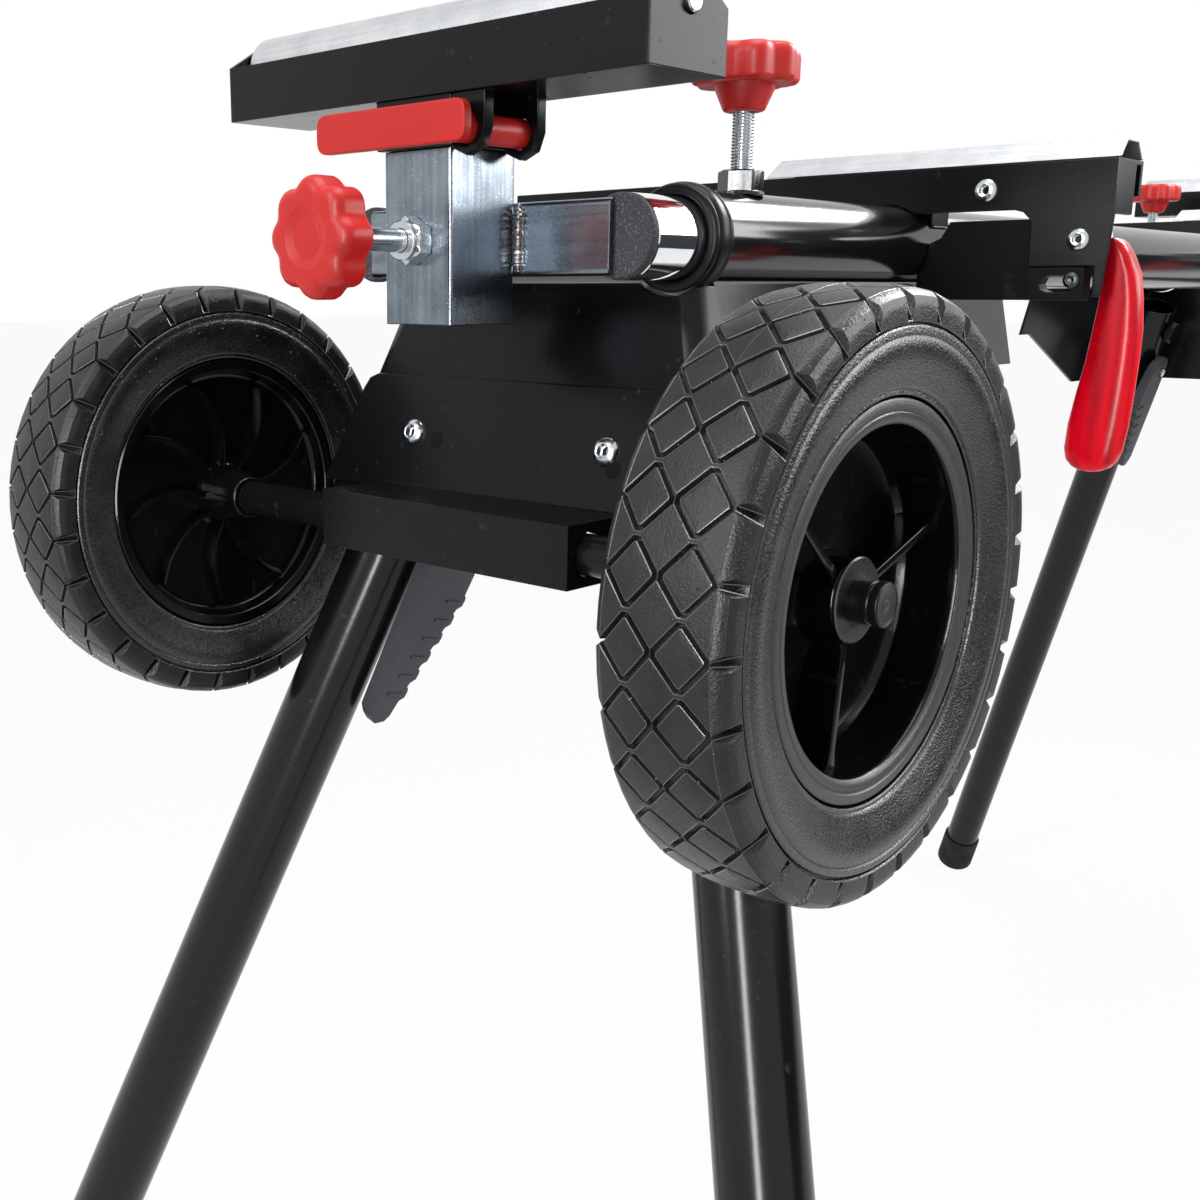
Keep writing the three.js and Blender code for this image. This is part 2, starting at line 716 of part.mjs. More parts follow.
// Cross bar and upright sleeve, welded together, with the clamp nut on the sleeve.
function extensionHeadGeometry() {
  const barMid = RAIL_Z;
  const halfBar = BAR_SIZE / 2;
  const reach = RAIL_Y - 2;
  const back = BAR_FRONT + BAR_SIZE;
  const bottom = SLEEVE_TOP - SLEEVE_LENGTH;
  const half = SLEEVE_SIZE / 2;
  const hollow = half - SLEEVE_WALL;
  const crossBar = cut(
    box([BAR_FRONT, -reach, barMid - halfBar], [back, reach, barMid + halfBar]),
    box(
      [BAR_FRONT + BAR_WALL, -reach - 1, barMid - halfBar + BAR_WALL],
      [back - BAR_WALL, reach + 1, barMid + halfBar - BAR_WALL],
    ),
    hole("x", ARM_R + GAP, [RAIL_Y, RAIL_Z], ROUND),
    hole("x", ARM_R + GAP, [-RAIL_Y, RAIL_Z], ROUND),
  );
  const sleeve = cut(
    box([SLEEVE_X - half, -half, bottom], [SLEEVE_X + half, half, SLEEVE_TOP]),
    box([SLEEVE_X - hollow, -hollow, bottom - 1], [SLEEVE_X + hollow, hollow, SLEEVE_TOP + 1]),
  );
  const face = SLEEVE_X - half;
  const nut = bar("x", face - NUT_HEIGHT, face + WELD, NUT_R, [0, POST_SCREW_Z], 6);
  const boreR = around(SCREW_R + PIN_GAP, SMALL);
  const bore = bar("x", face - NUT_HEIGHT - 1, SLEEVE_X, boreR, [0, POST_SCREW_Z], SMALL);
  return cut(join(crossBar, sleeve, nut), bore);
}

// A plastic plug with its flange over the tube's mouth, along +Y.
const tubeCapGeometry = () =>
  turnedSolid(
    [
      [0, -CAP_THICK],
      [ARM_R - 1, -CAP_THICK],
      [ARM_R, -CAP_THICK + 1],
      [ARM_R, -GAP],
      [ARM_R - ARM_WALL - GAP, -GAP],
      [ARM_R - ARM_WALL - GAP, CAP_DEPTH],
      [0, CAP_DEPTH],
    ],
    ROUND,
  );

// A ring over the rail's mouth with a bush that guides the extension tube, along +Y.
function collarGeometry() {
  const sides = 18;
  const bore = around(ARM_R + PIN_GAP, sides);
  const overRail = around(RAIL_R + GAP, sides);
  return turned(
    [
      [bore, -COLLAR_LIP],
      [COLLAR_R - 1, -COLLAR_LIP],
      [COLLAR_R, -COLLAR_LIP + 1],
      [COLLAR_R, COLLAR_LENGTH - COLLAR_LIP],
      [overRail, COLLAR_LENGTH - COLLAR_LIP],
      [overRail, -GAP],
      [RAIL_R - RAIL_WALL - GAP, -GAP],
      [RAIL_R - RAIL_WALL - GAP, BUSH_LENGTH],
      [bore, BUSH_LENGTH],
    ],
    sides,
  );
}

// The tray that carries the roller, its block over the sleeve and the lugs of the flip stop.
function supportHeadGeometry(stopY, stopZ) {
  const bottom = SLEEVE_TOP + GAP;
  const tray = bottom + HEAD_BLOCK;
  const halfWidth = HEAD_WIDTH / 2;
  const halfLength = HEAD_LENGTH / 2;
  const halfBlock = HEAD_BLOCK_WIDTH / 2;
  const rollerZ = tray + HEAD_FLANGE;
  const channel = [
    [-halfWidth, tray],
    [halfWidth, tray],
    [halfWidth, tray + HEAD_FLANGE],
    [halfWidth - SHEET, tray + HEAD_FLANGE],
    [halfWidth - SHEET, tray + SHEET],
    [-halfWidth + SHEET, tray + SHEET],
    [-halfWidth + SHEET, tray + HEAD_FLANGE],
    [-halfWidth, tray + HEAD_FLANGE],
  ];
  const cheek = [
    [-halfWidth, tray],
    [halfWidth, tray],
    [halfWidth, tray + HEAD_FLANGE],
    [ROLLER_PIN_R + 5, rollerZ + ROLLER_PIN_R + 4],
    [-ROLLER_PIN_R - 5, rollerZ + ROLLER_PIN_R + 4],
    [-halfWidth, tray + HEAD_FLANGE],
  ];
  const lug = (x) =>
    box([x, stopY - STOP_PIN_R - 4, stopZ], [x + 5, stopY + STOP_PIN_R + 4, tray + WELD]);
  const body = join(
    plateXZ(channel, -halfLength, halfLength),
    plateXZ(cheek, -halfLength, -halfLength + SHEET),
    plateXZ(cheek, halfLength - SHEET, halfLength),
    box([-halfBlock, -halfBlock, bottom], [halfBlock, halfBlock, tray + WELD]),
    lug(-halfWidth + 3),
    lug(halfWidth - 12),
    bar("x", -halfWidth + 3, -halfWidth + 8, STOP_PIN_R + 4, [stopY, stopZ], SMALL),
    bar("x", halfWidth - 12, halfWidth - 7, STOP_PIN_R + 4, [stopY, stopZ], SMALL),
  );
  return cut(
    body,
    hole("y", ROLLER_PIN_R + PIN_GAP, [0, rollerZ]),
    hole("x", STOP_PIN_R + PIN_GAP, [stopY, stopZ]),
    box([-halfBlock + 3, -halfBlock + 3, bottom - 1], [halfBlock - 3, halfBlock - 3, tray - SHEET]),
  );
}

function rollerGeometry() {
  const face = HEAD_LENGTH / 2 - SHEET - 1;
  const end = HEAD_LENGTH / 2 + 2;
  return turnedSolid(
    [
      [0, -end],
      [ROLLER_PIN_R, -end],
      [ROLLER_PIN_R, -face],
      [ROLLER_R - 1, -face],
      [ROLLER_R, -face + 1],
      [ROLLER_R, face - 1],
      [ROLLER_R - 1, face],
      [ROLLER_PIN_R, face],
      [ROLLER_PIN_R, end],
      [0, end],
    ],
    ROUND,
  );
}

// The flip stop: a bar outside the tray on a pin that runs through under it.
function stopGeometry(stopY, stopZ) {
  const front = -HEAD_WIDTH / 2 - GAP - 1;
  const half = STOP_HEIGHT / 2;
  const low = stopZ - STOP_PIN_R;
  const points = [
    [stopY - half, low + 1],
    [stopY - half + 2, low],
    [stopY + STOP_LENGTH - half, low],
    [stopY + STOP_LENGTH, low + half],
    [stopY + STOP_LENGTH - half, low + STOP_HEIGHT],
    [stopY - half, low + STOP_HEIGHT],
  ];
  return join(
    plateYZ(points, front - STOP_THICK, front),
    bar("x", front - WELD, HEAD_WIDTH / 2 - 5, STOP_PIN_R, [stopY, stopZ], SMALL),
  );
}

// One end's pull-out arm: two tubes, the head, the work support on its post and the clamp knob.
function buildExtension(name, end) {
  mesh(name + "_head", extensionHeadGeometry(), zinc, end);
  for (const [label, side] of [["left", 1], ["right", -1]]) {
    const tube = pipe("x", ARM_START, ARM_START + ARM_LENGTH, ARM_R, ARM_WALL, [
      side * RAIL_Y,
      RAIL_Z,
    ]);
    mesh(name + "_tube_" + label, tube, chrome, end);
    const cap = mesh(name + "_cap_" + label, tubeCapGeometry(), greyPlastic, end);
    cap.rotation.z = -Math.PI / 2;
    cap.position.set(ARM_START, side * RAIL_Y, RAIL_Z);
  }
  const half = POST_SIZE / 2;
  const hollow = half - POST_WALL;
  const post = cut(
    box([-half, -half, SLEEVE_TOP - POST_LENGTH], [half, half, SLEEVE_TOP]),
    box([-hollow, -hollow, SLEEVE_TOP - POST_LENGTH - 1], [hollow, hollow, SLEEVE_TOP + 1]),
  );
  const support = group(end, [SLEEVE_X, 0, 0]);
  const stopY = -HEAD_BLOCK_WIDTH / 2 - STOP_PIN_R - 1;
  const stopZ = SLEEVE_TOP + GAP + STOP_PIN_R;
  mesh(name + "_post", post, zinc, support);
  mesh(name + "_tray", supportHeadGeometry(stopY, stopZ), blackPaint, support);
  mesh(name + "_stop", stopGeometry(stopY, stopZ), redPlastic, support);
  const roller = mesh(name + "_roller", rollerGeometry(), zinc, support);
  roller.position.z = SLEEVE_TOP + GAP + HEAD_BLOCK + HEAD_FLANGE;
  const knob = mesh(
    name + "_post_knob",
    starKnob(POST_SCREW_FREE, NUT_HEIGHT + SLEEVE_WALL),
    redPlastic,
    end,
  );
  knob.rotation.y = -Math.PI / 2;
  knob.position.set(SLEEVE_X - half - GAP, 0, POST_SCREW_Z);
}

// ---- Rails ----

// An outer tube with the welded nut of its clamp screw, which sits near one end.
function railGeometry(screwX) {
  const half = HALF_SPAN - RAIL_START;
  const tube = pipe("x", -half, half, RAIL_R, RAIL_WALL, [0, 0], FINE);
  const nut = cut(
    bar("z", RAIL_R - 4, RAIL_R + NUT_HEIGHT, NUT_R, [screwX, 0], 6),
    bar("x", -half, half, RAIL_R - RAIL_WALL / 2, [0, 0], FINE),
  );
  const boreR = around(SCREW_R + PIN_GAP, SMALL);
  const bore = bar("z", 0, RAIL_R + NUT_HEIGHT + 1, boreR, [screwX, 0], SMALL);
  return cut(join(tube, nut), bore);
}

// ---- Saw brackets ----

// Points of the near side, given outwards from the near rail's axis and upwards from it.
const nearSide = (points) => points.map(([out, up]) => [-RAIL_Y - out, RAIL_Z + up]);
const farSide = (points) => points.map(([out, up]) => [RAIL_Y + out, RAIL_Z + up]);

// Folded beam across the rails: its web is open round the near rail and hooks over the far one.
function beamGeometry() {
  const pocketCorner = 8;
  const bossRoom = BOSS_OUT + JAW_TRAVEL + GAP;
  const web = [
    ...nearSide([
      [BEAM_OVERHANG, BEAM_ABOVE],
      [BEAM_OVERHANG, END_FLANGE_ABOVE],
      [BEAM_OVERHANG - SHEET, -WEB_BELOW],
      [bossRoom, -WEB_BELOW],
      [bossRoom, -BOSS_BELOW + GAP],
      [POCKET_OUT, -BOSS_BELOW + GAP],
      ...arc([POCKET_OUT - pocketCorner, POCKET_ABOVE - pocketCorner], pocketCorner, 0, 90, 3),
      [RAIL_R / 2, POCKET_ABOVE],
      [0, -WEB_MID_BELOW],
    ]),
    ...farSide([
      [0, -WEB_MID_BELOW],
      [RAIL_R - 6, -HOOK_BELOW],
      [RAIL_R - 6 + HOOK_WIDTH, -HOOK_BELOW],
      [RAIL_R + HOOK_WIDTH, -WEB_MID_BELOW],
      [BEAM_OVERHANG, END_FLANGE_ABOVE],
      [BEAM_OVERHANG, BEAM_ABOVE],
    ]),
  ];
  const roof = BEAM_TOP - SHEET;
  const flangeLow = RAIL_Z + END_FLANGE_ABOVE;
  const endFlange = (y) => box([0, y, flangeLow], [END_FLANGE, y + SHEET, BEAM_TOP]);
  const underRoof = BEAM_ABOVE - SHEET + WELD;
  const nearPad = nearSide([
    [-PAD_HALF, underRoof],
    [-PAD_HALF, RAIL_R / 2],
    [PAD_HALF, RAIL_R / 2],
    [PAD_HALF, underRoof],
  ]);
  const farPad = farSide([
    [-PAD_HALF, underRoof],
    [-PAD_HALF, RAIL_R / 2],
    [0, 0],
    [RAIL_R - 6, -HOOK_BELOW],
    [RAIL_R - 6 + HOOK_WIDTH, -HOOK_BELOW],
    [RAIL_R + 6, underRoof],
  ]);
  const pinEnd = LEVER_X + LEVER_THICK / 2 + GAP;
  const backFlange = BEAM_WIDTH - SHEET;
  const body = join(
    plateYZ(web, 0, SHEET),
    box([0, -BEAM_HALF, roof], [BEAM_WIDTH, BEAM_HALF, BEAM_TOP]),
    box([backFlange, -BEAM_HALF, flangeLow + 8], [BEAM_WIDTH, BEAM_HALF, BEAM_TOP]),
    endFlange(-BEAM_HALF),
    endFlange(BEAM_HALF - SHEET),
    plateYZ(nearPad, PAD_START, PAD_END),
    plateYZ(farPad, SHEET - WELD, PAD_END),
    bar("x", 0, pinEnd + WELD, LEVER_PIN_R, [LEVER_Y, LEVER_Z], SMALL),
    bar("x", pinEnd, pinEnd + 4, LEVER_PIN_R + 2, [LEVER_Y, LEVER_Z], 6),
  );
  return cut(
    body,
    hole("x", RAIL_R + GAP, [RAIL_Y, RAIL_Z], FINE),
    hole("x", RAIL_R + GAP, [-RAIL_Y, RAIL_Z], FINE),
    ...slots(roof - 1, BEAM_TOP + 1),
  );
}

// A slot along Y in which a round bar slides.
function slotOutline(y, z, radius, length) {
  const steps = 4;
  const reach = around(radius, 2 * steps);
  return [
    ...arc([y, z], reach, 90, 270, steps),
    ...arc([y + length, z], reach, -90, 90, steps),
  ];
}

// Long holes for the saw's bolts, through everything between two heights.
function slots(z0, z1) {
  const places = [
    -BEAM_HALF + SLOT_INSET,
    -RAIL_Y + PAD_HALF + SLOT_CLEAR + SLOT_R,
    BEAM_HALF - SLOT_INSET - SLOT_LENGTH,
  ];
  return places.map((y) => {
    const shape = outline(slotOutline(y, 0, SLOT_R, SLOT_LENGTH));
    const slot = new THREE.ExtrudeGeometry(shape, { depth: z1 - z0, bevelEnabled: false });
    return slot.rotateZ(Math.PI / 2).translate(BEAM_WIDTH / 2, 0, z0);
  });
}

// A raised seat of bent sheet on the near half of the beam, its inner end cut on the slant.
function seatGeometry() {
  const low = BEAM_TOP + GAP;
  const top = low + SEAT_HEIGHT;
  const front = GAP;
  const back = BEAM_WIDTH - GAP;
  const foot = SEAT_SHEET * 1.3;
  const fold = SEAT_SLOPE + SEAT_SHEET / 2;
  const section = [
    [front, low],
    [front + SEAT_SLOPE, top],
    [back - SEAT_SLOPE, top],
    [back, low],
    [back - foot, low],
    [back - fold, top - SEAT_SHEET],
    [front + fold, top - SEAT_SHEET],
    [front + foot, low],
  ];
  const strip = plateXZ(section, -BEAM_HALF, SEAT_END);
  const slant = [
    [SEAT_END, low - 1],
    [SEAT_END + 5, low - 1],
    [SEAT_END + 5, top + 1],
    [SEAT_END - 5, top + 1],
  ];
  return cut(strip, plateYZ(slant, -1, BEAM_WIDTH + 1), ...slots(low - 1, top + 1));
}

// The sliding jaw that bites under the rail, with a boss that shows in the web's opening.
function jawGeometry() {
  const plate = nearSide([
    [JAW_TIP_OUT, -JAW_BELOW],
    [BOSS_OUT, -JAW_BELOW],
    [BOSS_OUT, JAW_ABOVE - 3],
    [BOSS_OUT - 3, JAW_ABOVE],
    [RAIL_R + 10, JAW_ABOVE],
    [RAIL_R + 6, 4],
    [RAIL_R - 3, 0],
    [JAW_TIP_OUT, -6],
  ]);
  const boss = nearSide([
    [BOSS_OUT, -JAW_BELOW],
    [BOSS_OUT, -BOSS_BELOW],
    [POCKET_OUT + GAP, -BOSS_BELOW],
    [POCKET_OUT + GAP, -JAW_BELOW],
  ]);
  const guideZ = RAIL_Z - (JAW_BELOW + BOSS_BELOW) / 2;
  const guide = slotOutline(-RAIL_Y - BOSS_OUT + 7, guideZ, SLOT_R - 1, 2 * SLOT_R);
  const pinSlot = slotOutline(LEVER_Y, LEVER_Z, LEVER_PIN_R + PIN_GAP, JAW_TRAVEL);
  return cut(
    join(plateYZ(plate, SHEET + GAP, JAW_BACK), plateYZ(boss, -1, SHEET + GAP + WELD)),
    hole("x", RAIL_R + GAP, [-RAIL_Y, RAIL_Z], FINE),
    plateYZ(pinSlot, 0, JAW_BACK + 1),
    plateYZ(guide, -2, JAW_BACK + 1),
  );
}

// Points given from the lever's pivot, outwards and downwards.
const fromPivot = (points) => points.map(([out, down]) => [LEVER_Y - out, LEVER_Z - down]);

// Outline of the lever's steel arm, widened all round by a margin.
const leverArm = (margin) =>
  fromPivot([
    [0, -5 - margin],
    [12 + margin, 6.7 - margin],
    [18.5 + margin, 20.7],
    [14.5 + margin, LEVER_DROP + margin],
    [5.5 - margin, LEVER_DROP + margin],
    [9.5 - margin, 26.7],
    [-4, 7 + margin],
  ]);

function leverGeometry() {
  const front = LEVER_X - LEVER_THICK / 2;
  const back = LEVER_X + LEVER_THICK / 2;
  const body = join(
    plateYZ(leverArm(0), front, back),
    bar("x", front, back, LEVER_HUB_R, [LEVER_Y, LEVER_Z]),
  );
  return cut(body, hole("x", LEVER_PIN_R + PIN_GAP, [LEVER_Y, LEVER_Z]));
}

// The moulded grip over the lever's arm.
function gripGeometry() {
  const end = LEVER_DROP + GRIP_PAST_ARM;
  const points = fromPivot([
    [8.5, 0.7],
    [13, 2.7],
    [19, 10.7],
    [23, 20.7],
    [23.5, 39.7],
    [19, LEVER_DROP],
    [14, end - 2.5],
    [7, end],
    [1.5, end - 4.5],
    [0.5, LEVER_DROP - 2],
    [4.5, 39.7],
    [6.5, 24.7],
    [5, 12.7],
  ]);
  const grip = new THREE.ExtrudeGeometry(outline(anticlockwise(points)), {
    depth: GRIP_THICK - 2 * GRIP_BEVEL,
    bevelThickness: GRIP_BEVEL,
    bevelSize: GRIP_BEVEL,
    bevelOffset: -GRIP_BEVEL,
    bevelSegments: 2,
  });
  const start = LEVER_X - GRIP_THICK / 2 + GRIP_BEVEL;
  grip.rotateX(Math.PI / 2).rotateZ(Math.PI / 2).translate(start, 0, 0);
  const half = LEVER_THICK / 2 + GAP;
  return cut(
    grip,
    plateYZ(leverArm(GAP), LEVER_X - half, LEVER_X + half),
    bar("x", LEVER_X - half, BIG, LEVER_HUB_R + GAP, [LEVER_Y, LEVER_Z]),
  );
}

// A bracket with its web's face in the plane x = 0.
function buildBracket(name, parent, x) {
  const bracket = group(parent, [x, 0, AXLE_HEIGHT]);
  mesh(name + "_beam", beamGeometry(), blackPaint, bracket);
  mesh(name + "_seat", seatGeometry(), zinc, bracket);
  mesh(name + "_jaw", jawGeometry(), blackPlastic, bracket);
  mesh(name + "_lever", leverGeometry(), zinc, bracket);
  mesh(name + "_grip", gripGeometry(), redPlastic, bracket);
}

// ---- Assembly ----
const stand = new THREE.Group();
const wheelEnd = group(stand, [-HALF_SPAN, 0, AXLE_HEIGHT]);
const farEnd = group(stand, [HALF_SPAN, 0, AXLE_HEIGHT]);
farEnd.rotation.z = Math.PI;

const screwX = HALF_SPAN - RAIL_SCREW_X;
for (const [label, side] of [["right", -1], ["left", 1]]) {
  const rail = mesh("rail_" + label, railGeometry(side * screwX), blackPaint, stand);
  rail.position.set(0, side * RAIL_Y, AXLE_HEIGHT + RAIL_Z);
  const clamp = mesh(
    "rail_knob_" + label,
    starKnob(RAIL_SCREW_FREE, NUT_HEIGHT + RAIL_R - ARM_R),
    redPlastic,
    stand,
  );
  clamp.position.set(side * screwX, side * RAIL_Y, AXLE_HEIGHT + RAIL_Z + ARM_R + GAP);
}

const ends = [
  ["wheel_end", wheelEnd, WHEEL_END_PIVOT, WHEEL_END_SADDLE_LOW],
  ["far_end", farEnd, FAR_END_PIVOT, FAR_END_SADDLE_LOW],
];
for (const [name, end, pivotZ, low] of ends) {
  mesh(name + "_saddle", saddleGeometry(pivotZ, low), blackPaint, end);
  buildExtension(name, end);
  for (const [label, side] of [["left", 1], ["right", -1]]) {
    buildLeg(name + "_leg_" + label, end, side, pivotZ);
    const collar = mesh(name + "_collar_" + label, collarGeometry(), blackPlastic, end);
    collar.rotation.z = -Math.PI / 2;
    collar.position.set(RAIL_START, side * RAIL_Y, RAIL_Z);
  }
}

mesh("axle_bracket", axleBracketGeometry(), blackPaint, wheelEnd);
mesh("axle", axleGeometry(), zinc, wheelEnd);
buildWheel("wheel_left", wheelEnd, 1);
buildWheel("wheel_right", wheelEnd, -1);
buildBracket("bracket_a", stand, -BRACKET_X);
buildBracket("bracket_b", stand, BRACKET_X - BEAM_WIDTH);

export default stand;
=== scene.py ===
"""Looks of a folding stand for a mitre saw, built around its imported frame.

Sub-assemblies are written in millimetres in a place of their own and become metres as their meshes are made.
An end of the stand has its origin on the wheel axle's height, +X along the rails and +Z up.
"""

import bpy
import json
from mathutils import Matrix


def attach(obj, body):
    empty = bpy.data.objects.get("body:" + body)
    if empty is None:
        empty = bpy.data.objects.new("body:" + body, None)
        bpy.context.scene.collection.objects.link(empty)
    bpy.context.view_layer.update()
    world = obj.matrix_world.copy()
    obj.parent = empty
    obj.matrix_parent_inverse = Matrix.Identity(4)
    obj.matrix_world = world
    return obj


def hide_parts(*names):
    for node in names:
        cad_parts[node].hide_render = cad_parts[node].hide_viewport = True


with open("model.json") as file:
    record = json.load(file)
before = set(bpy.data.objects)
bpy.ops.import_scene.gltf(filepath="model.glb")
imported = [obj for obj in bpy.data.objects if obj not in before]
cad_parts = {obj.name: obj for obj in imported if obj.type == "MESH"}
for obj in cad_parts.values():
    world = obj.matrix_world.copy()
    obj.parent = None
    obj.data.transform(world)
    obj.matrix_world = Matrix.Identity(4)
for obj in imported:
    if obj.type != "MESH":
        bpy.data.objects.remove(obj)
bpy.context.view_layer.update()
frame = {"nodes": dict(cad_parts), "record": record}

import json
import logging
import math
import random
from dataclasses import dataclass, field
from enum import Enum
from typing import Sequence

import bmesh
import bpy
from mathutils import Matrix, Vector
from mathutils.geometry import delaunay_2d_cdt, tessellate_polygon

log = logging.getLogger("stand")

Point2 = tuple[float, float]
Point3 = tuple[float, float, float]
Colour = tuple[float, float, float]

METRE = 1000.0
GAP = 0.3
SHEET = 2.5

# The stand: height of the axle, half the way between its ends, lean of the legs along the rails.
AXLE_HEIGHT = 620.0
HALF_SPAN = 550.0
LEG_LEAN = 0.276
SIDES = (("left", 1), ("right", -1))
BRACKETS = (("bracket_a", -325.0), ("bracket_b", 295.0))

# Rails and pull-out tubes; a start is measured from the end's origin.
RAIL_R = 19.0
RAIL_WALL = 1.5
RAIL_Y = 67.0
RAIL_Z = 117.0
RAIL_START = 54.0
TUBE_R = 15.9
TUBE_WALL = 1.5
TUBE_START = 21.0
TUBE_LENGTH = 490.0

# The sleeve's middle; the clamp screws, their nuts and the length that stays free above these.
SLEEVE_X = -3.5
SCREW_R = 4.5
NUT = 9.0
NUT_CORNERS = 9.2
SCREW_FREE = 22.0

# Points around nuts and bolt heads; angle in degrees above which an edge stays sharp.
NUT_SIDES = 36
SHARP = 38.0


# ---------------------------------------------------------------- shader maths


class Term:
    """A number that varies over a surface; operators on it add Math nodes to its graph."""

    def __init__(self, graph: "Graph", socket: bpy.types.NodeSocket) -> None:
        """Wraps a socket.

        Args:
            graph: The graph that the socket belongs to.
            socket: An output socket that carries a number.
        """
        self.graph = graph
        self.socket = socket

    def __add__(self, other: "Term | float") -> "Term":
        """Sum with a term or number."""
        return self.graph.maths("ADD", self, other)

    def __radd__(self, other: float) -> "Term":
        """Sum with a number on the left."""
        return self.graph.maths("ADD", other, self)

    def __sub__(self, other: "Term | float") -> "Term":
        """Difference to a term or number."""
        return self.graph.maths("SUBTRACT", self, other)

    def __rsub__(self, other: float) -> "Term":
        """Difference from a number on the left."""
        return self.graph.maths("SUBTRACT", other, self)

    def __mul__(self, other: "Term | float") -> "Term":
        """Product with a term or number."""
        return self.graph.maths("MULTIPLY", self, other)

    def __rmul__(self, other: float) -> "Term":
        """Product with a number on the left."""
        return self.graph.maths("MULTIPLY", other, self)

    def between(self, low: float, high: float) -> "Term":
        """Smooth step from 0 at one value to 1 at another.

        Args:
            low: Where the step starts.
            high: Where the step ends.

        Returns:
            The step, from 0 to 1.
        """
        node = self.graph.add(
            "ShaderNodeMapRange",
            {"interpolation_type": "SMOOTHSTEP"},
            {0: self, 1: low, 2: high, 3: 0.0, 4: 1.0},
        )
        return Term(self.graph, node.outputs[0])


class Graph:
    """The node tree of one material or world."""

    def __init__(self, owner: bpy.types.Material | bpy.types.World) -> None:
        """Empties the owner's tree.

        Args:
            owner: The material or world.
        """
        self.owner = owner
        self.owner.use_nodes = True
        self.tree = self.owner.node_tree
        self.tree.nodes.clear()
        self._coordinates: bpy.types.NodeSocket | None = None

    def add(
        self,
        kind: str,
        settings: dict[str, object] | None = None,
        inputs: dict[str | int, object] | None = None,
    ) -> bpy.types.Node:
        """Adds a node.

        Args:
            kind: Blender's name for the type of node.
            settings: Values that are set on the node first.
            inputs: Values or links of its sockets, by name or number.

        Returns:
            The new node.
        """
        node = self.tree.nodes.new(kind)
        for key, value in (settings or {}).items():
            setattr(node, key, value)
        for key, value in (inputs or {}).items():
            source = value.socket if isinstance(value, Term) else value
            if isinstance(source, bpy.types.NodeSocket):
                self.tree.links.new(source, node.inputs[key])
            else:
                node.inputs[key].default_value = source
        return node

    def maths(self, operation: str, *values: Term | float) -> Term:
        """Adds a Math node on terms and numbers."""
        node = self.add("ShaderNodeMath", {"operation": operation}, dict(enumerate(values)))
        return Term(self, node.outputs[0])

    @property
    def place(self) -> bpy.types.NodeSocket:
        """Coordinates in metres that stay with the piece."""
        if self._coordinates is None:
            self._coordinates = self.add("ShaderNodeTexCoord").outputs["Object"]
        return self._coordinates

    @property
    def seen(self) -> Term:
        """Whether a surface is seen or mirrored.

        Returns:
            1 where it is, 0 where it only lights others.
        """
        path = self.add("ShaderNodeLightPath")
        rays = [
            Term(self, path.outputs[f"Is {kind} Ray"]) for kind in ("Camera", "Glossy", "Transmission")
        ]
        return self.maths("MAXIMUM", self.maths("MAXIMUM", rays[0], rays[1]), rays[2])

    def stretched(self, factors: Point3) -> bpy.types.NodeSocket:
        """The piece's coordinates, scaled along each axis."""
        node = self.add(
            "ShaderNodeVectorMath", {"operation": "MULTIPLY"}, {0: self.place, 1: factors}
        )
        return node.outputs[0]

    def noise(
        self, size: float, detail: float = 2.0, vector: bpy.types.NodeSocket | None = None
    ) -> Term:
        """Noise from 0 to 1.

        Args:
            size: Size of its largest features in millimetres.
            detail: Number of finer layers.
            vector: Coordinates to use in place of the piece's own.

        Returns:
            The noise.
        """
        node = self.add(
            "ShaderNodeTexNoise",
            None,
            {"Vector": vector or self.place, "Scale": METRE / size, "Detail": detail},
        )
        return Term(self, node.outputs[0])

    def cells(self, size: float) -> Term:
        """Distance to the nearest of scattered points, in cells of a size in millimetres."""
        node = self.add(
            "ShaderNodeTexVoronoi", None, {"Vector": self.place, "Scale": METRE / size}
        )
        return Term(self, node.outputs["Distance"])

    def mix(
        self, first: object, second: object, share: Term | float
    ) -> bpy.types.NodeSocket:
        """Mixes two colours.

        Args:
            first: Colour where the share is 0, a value or a socket.
            second: Colour where the share is 1, a value or a socket.
            share: How much of the second colour shows.

        Returns:
            The mixed colour.
        """
        colours = [c if isinstance(c, bpy.types.NodeSocket) else (*c, 1.0) for c in (first, second)]
        node = self.add(
            "ShaderNodeMix", {"data_type": "RGBA"}, {0: share, 6: colours[0], 7: colours[1]}
        )
        return node.outputs[2]

    def bump(
        self, height: Term, depth: float, below: bpy.types.NodeSocket | None = None
    ) -> bpy.types.NodeSocket:
        """Relief of a depth in millimetres, on top of another relief.

        Args:
            height: What rises and falls, from 0 to 1.
            depth: How far, in millimetres.
            below: A relief that lies under it.

        Returns:
            The relief, for a Normal socket.
        """
        inputs: dict[str | int, object] = {
            "Strength": 1.0, "Distance": depth / METRE, "Height": height,
        }
        if below is not None:
            inputs["Normal"] = below
        return self.add("ShaderNodeBump", None, inputs).outputs[0]

    def finish(self, inputs: dict[str | int, object]) -> bpy.types.Material:
        """Closes the graph with a Principled shader.

        Args:
            inputs: Values or links of the shader's sockets.

        Returns:
            The material.
        """
        shader = self.add("ShaderNodeBsdfPrincipled", None, inputs)
        self.add("ShaderNodeOutputMaterial", None, {"Surface": shader.outputs[0]})
        return self.owner


# ---------------------------------------------------------------- finishes


MATERIALS: dict[str, bpy.types.Material] = {}


